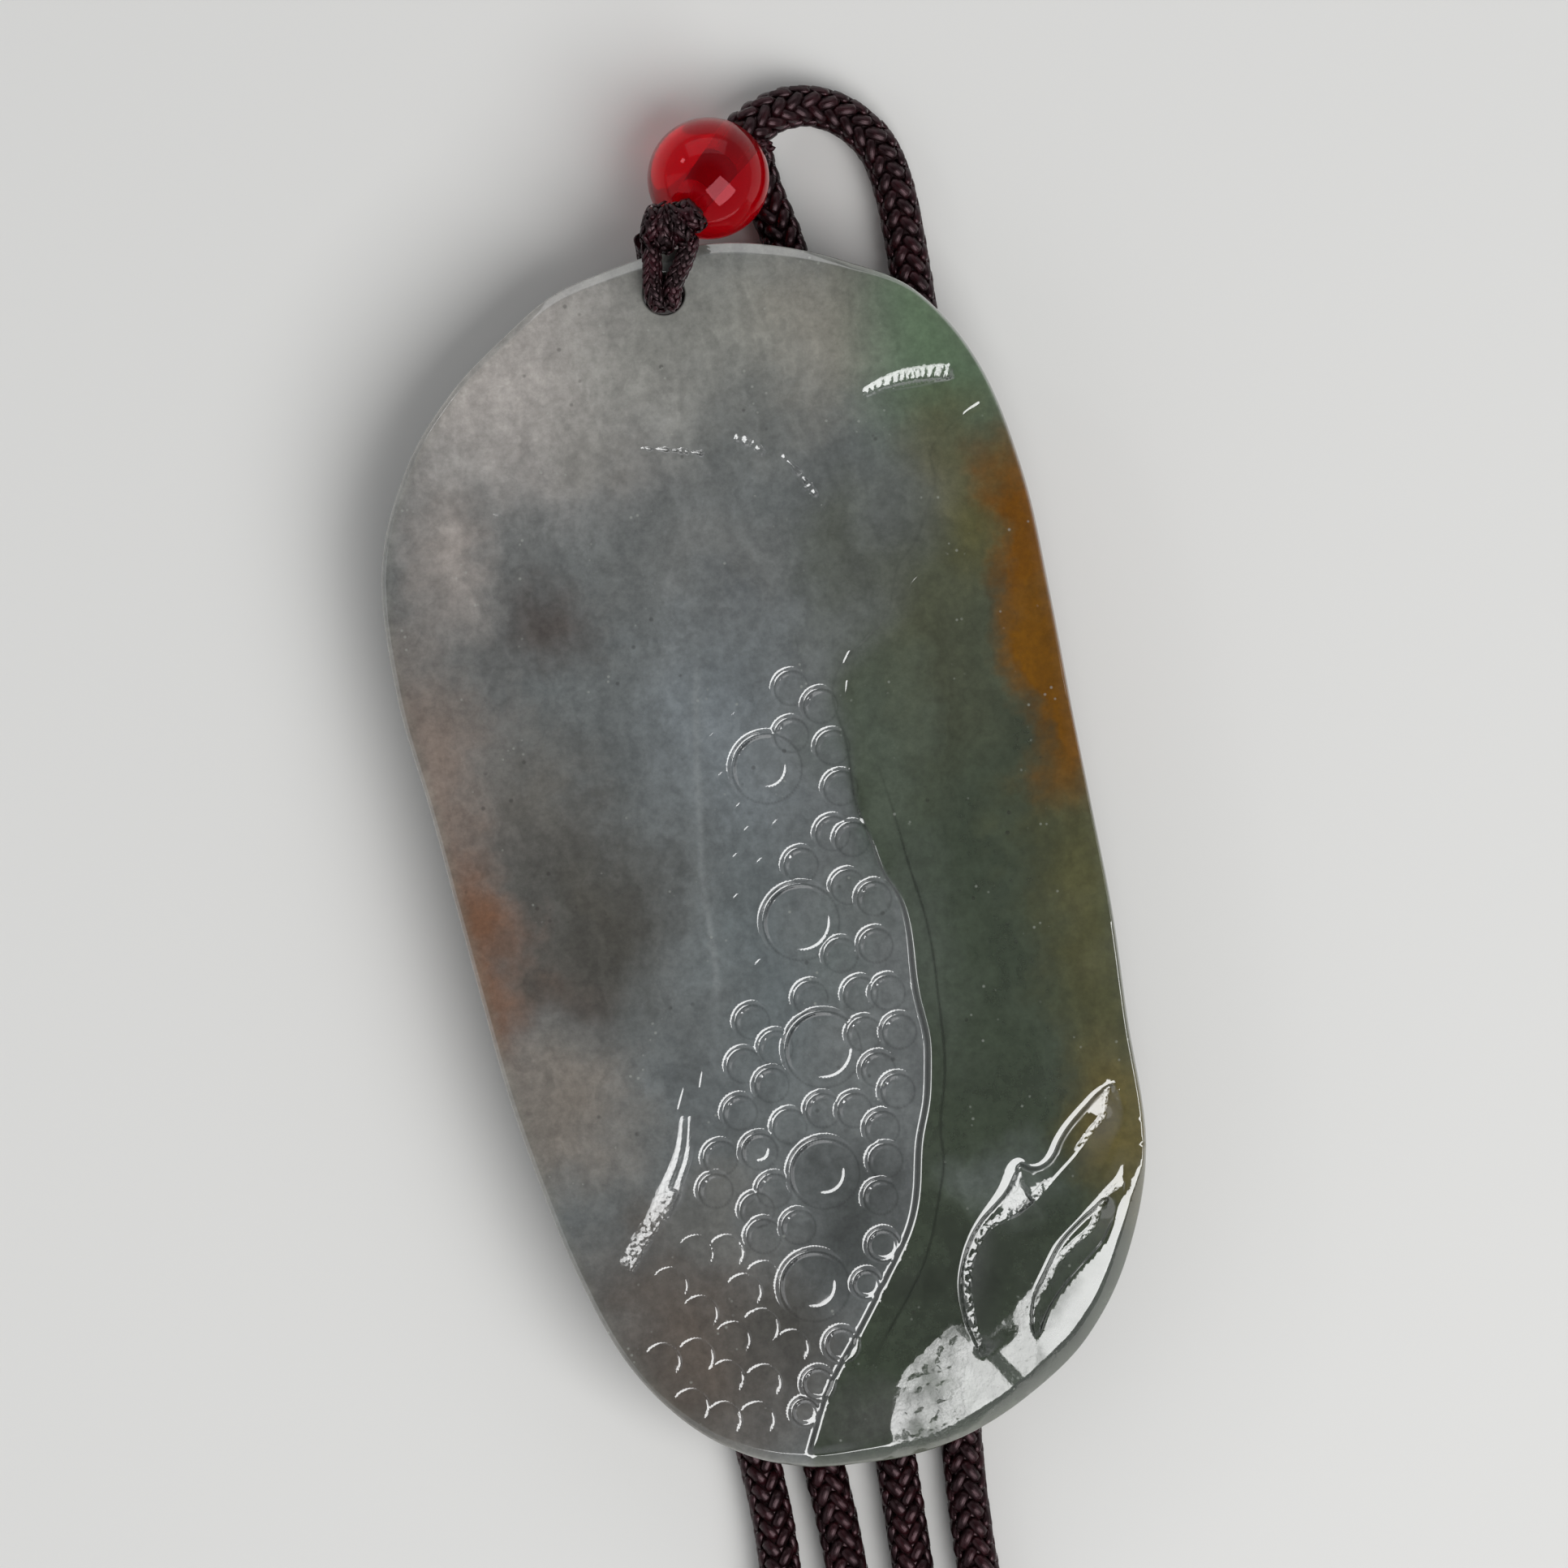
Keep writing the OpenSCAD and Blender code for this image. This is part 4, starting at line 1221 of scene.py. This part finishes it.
LEAF_NET, WIDE_NET, LEAVES_FROM = 0.22, 0.42, 22
for gap in (LEAF_NET, WIDE_NET):
    spots = net(np.arange(-20, 20, gap), np.arange(-37, 37, gap * 0.866), gap / 2)
    if gap == LEAF_NET:
        spots = spots[spots @ LIGHT_WAY > LEAVES_FROM]
    groups.append((spots, gap * 0.75))
flat_points = thinned(border + [(inside(spots, 0.09), gap) for spots, gap in groups])
print(len(flat_points), "points on the front")


# %% Triangles and heights
def filled(points, rings_of):
    """Triangles between the points, inside the first ring and outside the second."""
    borders, start = [], 0
    for count in rings_of:
        borders += [(start + i, start + (i + 1) % count) for i in range(count)]
        start += count
    corners, _, faces, *_ = delaunay_2d_cdt([Vector(p) for p in points], borders, [], 1, 1e-7)
    assert len(corners) == len(points), "the triangulation changed the points"
    return [face for face in faces if not all(ROUND_STEPS <= i < start for i in face)]


def front_height(points):
    """Height of the polished front, how rough it is, how much painted shade, and how dull its
    polish.
    """
    r = np.linalg.norm(points, axis=1)
    edge_r = round_plaque(points, polar_r)
    inwards = (edge_r - r) * round_plaque(points, steepness)
    width = round_plaque(points, rim_width)
    share = np.clip(inwards / width, 0, 1)
    depth, rough, dark, matt = carved(points)
    height = HALF_T - CROWN * np.minimum(r / edge_r, 1) ** 2
    height -= round_plaque(points, rim_fall) * (1 - share) ** 1.25 + depth
    return height, rough * ramp(share), dark * ramp(share), matt * ramp(share)


TOOL_MARK = 0.11
front_faces = filled(flat_points, (ROUND_STEPS, HOLE_STEPS))
front_z, rough, dark_line, matt = front_height(flat_points)
front_z -= TOOL_MARK * rough**1.5 * rng.random(len(front_z))
print(len(front_faces), "triangles, height %.2f to %.2f mm" % (front_z.min(), front_z.max()))

# %% [markdown]
# ## Sides, back and hole
# The side wall stands straight up from a rounded back edge, and the back is flat. The
# hole's mouths have a small chamfer, because a sharp edge would cut the thread. Each is
# a strip between two rings of points that are shared with the faces beside them.

# %% The closed plaque
BACK_ROUND = 1.0
points = [(x, y, z) for (x, y), z in zip(flat_points, front_z)]
faces = [tuple(face) for face in front_faces]


def strip(upper, ring_points):
    """Joins a ring of point numbers to a new ring below it, and returns the new one."""
    lower = list(range(len(points), len(points) + len(ring_points)))
    points.extend(map(tuple, ring_points))
    for i in range(len(upper)):
        k = (i + 1) % len(upper)
        faces.append((upper[i], lower[i], lower[k], upper[k]))
    return lower


def at_height(flat, z):
    return np.column_stack([flat, np.full(len(flat), z)])


wall = strip(list(range(ROUND_STEPS)), at_height(outline, -HALF_T + BACK_ROUND))
for a in np.radians((22.5, 45, 67.5, 90)):
    ring_in = outline - BACK_ROUND * (1 - math.cos(a)) * outward
    wall = strip(wall, at_height(ring_in, -HALF_T + BACK_ROUND * (1 - math.sin(a))))
hole_ring = list(range(ROUND_STEPS, ROUND_STEPS + HOLE_STEPS))
hole_wall = np.array(HOLE) + HOLE_D / 2 * hole_circle
mouth_z = front_z[ROUND_STEPS : ROUND_STEPS + HOLE_STEPS].min()
for flat, z in (
    (hole_wall, mouth_z - HOLE_CHAMFER), (hole_wall, 0), (hole_wall, HOLE_CHAMFER - HALF_T),
    (hole_mouth, -HALF_T),
):
    hole_ring = strip(hole_ring, at_height(flat, z))
back_net = inside(net(np.arange(-19, 20, 2.0), np.arange(-35, 36, 2.0)), 1.5)
back_outline = outline - BACK_ROUND * outward
back_flat = np.vstack([back_outline, hole_mouth, back_net])
number = wall + hole_ring + list(range(len(points), len(points) + len(back_net)))
points.extend(map(tuple, at_height(back_net, -HALF_T)))
faces += [tuple(number[i] for i in face) for face in filled(back_flat, (ROUND_STEPS, HOLE_STEPS))]

# %% Plaque object
plaque = solid_object("jade_carving", points, faces)
plaque_mesh = plaque.data
slopes = np.empty(len(points) * 3, np.float32)
plaque_mesh.vertex_normals.foreach_get("vector", slopes)
# Painted shade: the steeper a wall of a cut, the darker its colour is made
walls = np.clip((0.985 - slopes[2::3]) / 0.25, 0, 1)
spots = np.array(points)[:, :2]
x, y = spots.T
from_edge = round_plaque(spots, polar_r) - np.linalg.norm(spots, axis=1)
# Painted highlight: a pale line along the low step at the stem's left edge
to_pale, _, share = to_line(spots, LINES["stem_left"])
# The colour changes sharply at the stem's lower edge and softly above it
right, high_up = beside(spots, "stem_right"), ramp((y - 17) / 9)
softness = np.interp(y, (2, 10, 20), (0.7, 3, 7))
past_stem = ramp(right / softness + 0.5) * (1 - high_up)
# What each point remembers for the finish, painted shade and light among it
no_cuts = np.zeros(len(points) - len(rough))
MEMORY = {
    "tool_marks": np.append(rough, no_cuts),
    "dark_line": np.append(dark_line, no_cuts),
    "matt": np.append(matt, no_cuts),
    # Painted light: the rim is made paler, less so on the right, for light coming through the
    # translucent edge
    "thin_edge": ramp(1 - from_edge / 0.8) * (1 - 0.8 * ramp((x - 4) / 8)),
    "beyond_stem": past_stem + ramp((x - 7) / 8) * high_up,
    "cut_walls": walls * ramp(from_edge / 1.2),
    "pale_line": thin_line(to_pale, 0.25) * tapered(share),
}
for name, values in MEMORY.items():
    plaque_mesh.attributes.new(name, "FLOAT", "POINT").data.foreach_set("value", values)
print("each point remembers:", *MEMORY)

# %% [markdown]
# ## Jade
# Jade is a felt of tiny crystals. Light sinks in and comes out nearby, so edges of cuts
# look soft while the waxed polish on top stays sharp. This stone goes from pale grey at
# the upper left through green and rust to smoky olive. A short list of soft zones gives
# the colours, a noise bends their borders, and finer noises add clouds, flecks and specks.
# Some light and shade is painted on as well: darker cut walls and lines, a pale highlight
# line by the stem, and a paler rim for light through the stone's edge.

# %% Colour zone group
COLOUR, VECTOR = "NodeSocketColor", "NodeSocketVector"
zone_group, given, result = new_group(
    "colour_zone", "ShaderNodeTree",
    [
        ("Under", COLOUR, None), ("Zone", COLOUR, None), ("Position", VECTOR, None),
        ("Middle", VECTOR, None), ("Reach", VECTOR, None), ("Amount", FLOAT, 1.0),
    ],
    [("Colour", COLOUR)],
)
off = of_vectors(zone_group, "SUBTRACT", given["Position"], given["Middle"])
scaled = of_vectors(zone_group, "DIVIDE", off, given["Reach"])
nearness = remap(zone_group, of_vectors(zone_group, "LENGTH", scaled), 1, 0)
share = times(zone_group, nearness, given["Amount"])
zone_group.links.new(mix(zone_group, share, given["Under"], given["Zone"]), result.inputs[0])

# %% Jade material
# Columns: middle across and along, reach across and along, amount, and the colour's red,
# green and blue in thousandths
STEM_SIDE = [
    (-11, 31, 17, 14, 1.0, 410, 380, 355), (2, 31, 14, 10, 0.9, 240, 240, 216),
    (9, 31, 8, 8, 0.8, 275, 260, 220), (-19, 6, 8, 18, 0.9, 215, 163, 133),
    (-12, 5, 5, 7, 0.7, 125, 112, 96), (-13.5, -6, 4, 5, 0.8, 108, 83, 68),
    (-1, 18, 8, 7, 0.8, 160, 163, 157), (-6, 26, 4, 4, 0.7, 190, 185, 170),
    (-1, 8, 7.5, 12, 0.9, 170, 191, 203), (0, 16, 2.5, 2.5, 0.5, 120, 130, 135),
    (-1, -7, 6, 15, 0.8, 125, 145, 150), (8, 17, 6, 9, 0.8, 78, 85, 66),
    (6.5, 1, 3.5, 9, 0.8, 64, 82, 69), (4, -7, 3, 4, 0.7, 125, 145, 142),
    (-10.2, 16, 5.5, 5, 1.0, 84, 74, 68), (-15.5, 20.5, 4.5, 6, 0.9, 330, 295, 270),
    (-11, -1.5, 7, 10, 1.0, 66, 62, 52), (-17.5, -4, 4.5, 12, 1.1, 165, 85, 50),
    (-14.5, -13.5, 8, 6.5, 1.0, 205, 182, 158), (-10.5, -19.5, 2.5, 3, 0.7, 110, 100, 88),
    (-9, -28, 12, 12, 1.0, 98, 80, 66), (-6, -13, 4, 6, 0.6, 130, 145, 150),
    (2.5, -22, 6, 7, 0.9, 46, 51, 49), (-7.5, -20, 3.5, 4, 0.8, 150, 150, 140),
    (-2.5, -27.5, 6, 5, 0.9, 50, 48, 42),
]
FAR_SIDE = [
    (11, 13, 11, 15, 1.0, 74, 80, 49), (8, 6, 4, 11, 0.8, 85, 106, 80),
    (9.5, -6, 4, 11, 0.8, 68, 83, 66), (14, 28, 9, 8.5, 1.0, 108, 162, 98),
    (18.5, -6, 5, 17, 0.9, 85, 82, 33), (18.5, -19, 5, 9, 0.9, 120, 95, 30),
    (15, 20, 4.5, 8, 0.8, 112, 102, 36), (18.1, 16, 3.2, 9, 1.5, 150, 56, 1),
    (18.6, 7, 3.7, 9, 1.6, 150, 60, 1), (8, -26, 9, 6, 0.7, 25, 30, 23),
    (11.5, -21, 4.5, 3.5, 0.7, 120, 138, 128), (1, -33, 7, 4, 0.9, 70, 74, 66),
]
jade, tree, shader = principled(
    "jade", Roughness=0.1, IOR=1.66, Subsurface_Weight=0.15, Subsurface_Scale=0.0008,
    Subsurface_Radius=(1, 1, 1), Coat_Weight=1.0, Coat_Roughness=0.05, Coat_IOR=1.8,
)
where = tree.nodes.new("ShaderNodeTexCoord").outputs["Object"]
drift = add_node(
    tree, "ShaderNodeTexNoise", {"Vector": where, "Scale": 130, "Detail": 5, "Roughness": 0.6}
)
drift = of_vectors(tree, "SUBTRACT", drift.outputs["Color"], (0.5, 0.5, 0.5))
bent = of_vectors(tree, "ADD", where, of_vectors(tree, "SCALE", drift, 0.010))


def zoned(colour, zones):
    """Lays soft zones over a colour, one after the other."""
    for x, y, reach_x, reach_y, amount, *thousandths in zones:
        zone = add_node(tree, "ShaderNodeGroup", node_tree=zone_group)
        values = {
            "Position": bent, "Middle": (x * MM, y * MM, 0), "Amount": amount, "Under": colour,
            "Reach": (reach_x * MM, reach_y * MM, 0.02),
            "Zone": (*(c / 1000 for c in thousandths), 1),
        }
        for socket, value in values.items():
            if isinstance(value, bpy.types.NodeSocket):
                tree.links.new(value, zone.inputs[socket])
            else:
                zone.inputs[socket].default_value = value
        colour = zone.outputs[0]
    return colour


def remembered(name):
    return add_node(tree, "ShaderNodeAttribute", attribute_name=name).outputs["Fac"]


near_stem = zoned((0.13, 0.14, 0.14, 1), STEM_SIDE)
beyond = zoned((0.043, 0.056, 0.037, 1), FAR_SIDE)
colour = mix(tree, remembered("beyond_stem"), near_stem, beyond)
# Painted light: a pale highlight line by the stem and a paler rim are mixed into the colour
for name, tint in (("pale_line", (0.26, 0.28, 0.28)), ("thin_edge", (0.20, 0.20, 0.17))):
    colour = mix(tree, times(tree, remembered(name), 0.4), colour, tint)

# %% Clouds, streaks, painted shade, flecks and specks
clouds = remap(tree, noise(tree, where, 240, 7, Roughness=0.68), 0.3, 0.7, 0.86, 1.14)
fine = remap(tree, noise(tree, where, 1700, 5, Roughness=0.75), 0.3, 0.7, 0.87, 1.13)
drawn_out = noise(tree, stretched(tree, bent, (1, 0.06, 1)), 1100, 3)
streaks = remap(tree, drawn_out, 0.3, 0.7, 0.9, 1.1)
shade = times(tree, times(tree, clouds, fine), streaks)
# Painted shade: steep cut walls and the lines along cuts are darkened
for name, darker in (("cut_walls", -0.55), ("dark_line", -0.5)):
    shade = times(tree, shade, calculate(tree, "MULTIPLY_ADD", remembered(name), darker, 1))
shaded = of_vectors(tree, "SCALE", colour, shade)


def dots(scale, size, keep):
    """A mask of small round dots, of which a noise keeps a share."""
    cells = add_node(tree, "ShaderNodeTexVoronoi", {"Vector": where, "Scale": scale})
    dot = remap(tree, cells.outputs["Distance"], size, size * 0.4)
    return times(tree, dot, remap(tree, noise(tree, where, scale * 0.23, 1), keep, keep + 0.05))


specks, flecks = times(tree, dots(900, 0.16, 0.6), 0.4), times(tree, dots(1700, 0.2, 0.6), 0.35)
speckled = mix(tree, specks, shaded, (0.02, 0.018, 0.016))

# %% Cuts, polish and the dull spots
marks = remembered("tool_marks")
grit = times(tree, noise(tree, where, 3800, 4), marks)
height = calculate(tree, "ADD", grit, times(tree, noise(tree, where, 2600, 2), 0.012))
rub = remap(tree, noise(tree, where, 300, 4), 0.35, 0.7, 0.06, 0.13)
patchy = remap(tree, noise(tree, where, 700, 5), 0.35, 0.6, 0.35, 1)
dull = times(tree, remembered("matt"), patchy)
for share, more in ((dull, 0.4), (marks, 0.08)):
    rub = calculate(tree, "MULTIPLY_ADD", share, more, rub)
feed(shader, tree, {
    "Base Color": mix(tree, flecks, speckled, (0.4, 0.42, 0.38)),
    "Normal": dented(tree, height, 0.8, 0.00016), "Roughness": rub,
    "Coat Weight": calculate(tree, "MULTIPLY_ADD", dull, -0.9, 1),
})
plaque_mesh.materials.append(jade)
print("jade:", len(tree.nodes), "nodes")

# %% [markdown]
# ## Table and light
# A plain pale table carries everything. The light is soft: a pale surround, and a large
# window-like panel low on the right, which makes the thin lights in the cuts. It starts
# some way from straight above, so the flat of the stone doesn't mirror it. A small lamp at
# the upper left adds small highlights, and two weak panels fill in from the top and left.

# %% Table
bpy.ops.mesh.primitive_grid_add(x_subdivisions=2, y_subdivisions=2, size=3, location=(0, 0, 0))
table_top = bpy.context.object
table_top.name = "table_top"
for vertex in table_top.data.vertices:
    vertex.co.z = FLOOR_Z * MM
table_finish, _, _ = principled("table", Base_Color=(0.66, 0.655, 0.64, 1), Roughness=0.7)
table_top.data.materials.append(table_finish)


# %% Lights
PANEL_AWAY = 0.6
# Columns: name, degrees off straight above, way, width, height, radiance
PANELS = [
    ("window", 35, LIGHT_WAY, 0.46, 0.50, 4.8), ("lamp", 60, (-0.69, 0.72), 0.07, 0.07, 6),
    ("top", 64, (0.1, 1), 0.7, 0.35, 0.8), ("left", 62, (-1, -0.1), 0.5, 0.5, 0.4),
]
for name, zenith, way, width, height, radiance in PANELS:
    light = bpy.data.lights.new(name, "AREA")
    light.shape, light.size, light.size_y = "RECTANGLE", width, height
    light.energy = radiance * math.pi * width * height
    panel = bpy.data.objects.new(name, light)
    tilt = math.radians(zenith)
    flat = Vector((*way, 0)).normalized() * math.sin(tilt)
    panel.location = (flat + Vector((0, 0, math.cos(tilt)))) * PANEL_AWAY
    panel.rotation_euler = panel.location.to_track_quat("Z", "Y").to_euler()
    bpy.context.collection.objects.link(panel)
world = bpy.data.worlds.new("surround")
world.use_nodes = True
sky = world.node_tree
way_out = sky.nodes.new("ShaderNodeTexCoord").outputs["Generated"]
towards = add_node(sky, "ShaderNodeSeparateXYZ", {0: way_out})
overhead = remap(sky, towards.outputs["Z"], 0.75, 0.97)
backdrop = sky.nodes["Background"]
sky.links.new(mix(sky, overhead, (0.37, 0.38, 0.39), (0.06, 0.06, 0.06)), backdrop.inputs["Color"])
bpy.context.scene.world = world
bpy.context.scene.view_settings.view_transform = "Standard"
print(len(PANELS), "light panels")

# %% [markdown]
# ## Give the pieces to the frame
# Nothing here moves by itself, so every piece rides on the one body of the frame. Each
# piece replaces the CAD node whose place it fills, which is hidden.

# %% Ride and replace
for piece, node, slot in (
    (plaque, "jade_plaque", "jade"), (glass_bead, "glass_bead", "red_glass"),
    (hanging_thread, "hanging_thread", "thread"), (thread_knot, "thread_knot", "thread"),
    (neck_cord, "neck_cord", "cord"),
):
    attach(piece, "root")
    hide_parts(node)
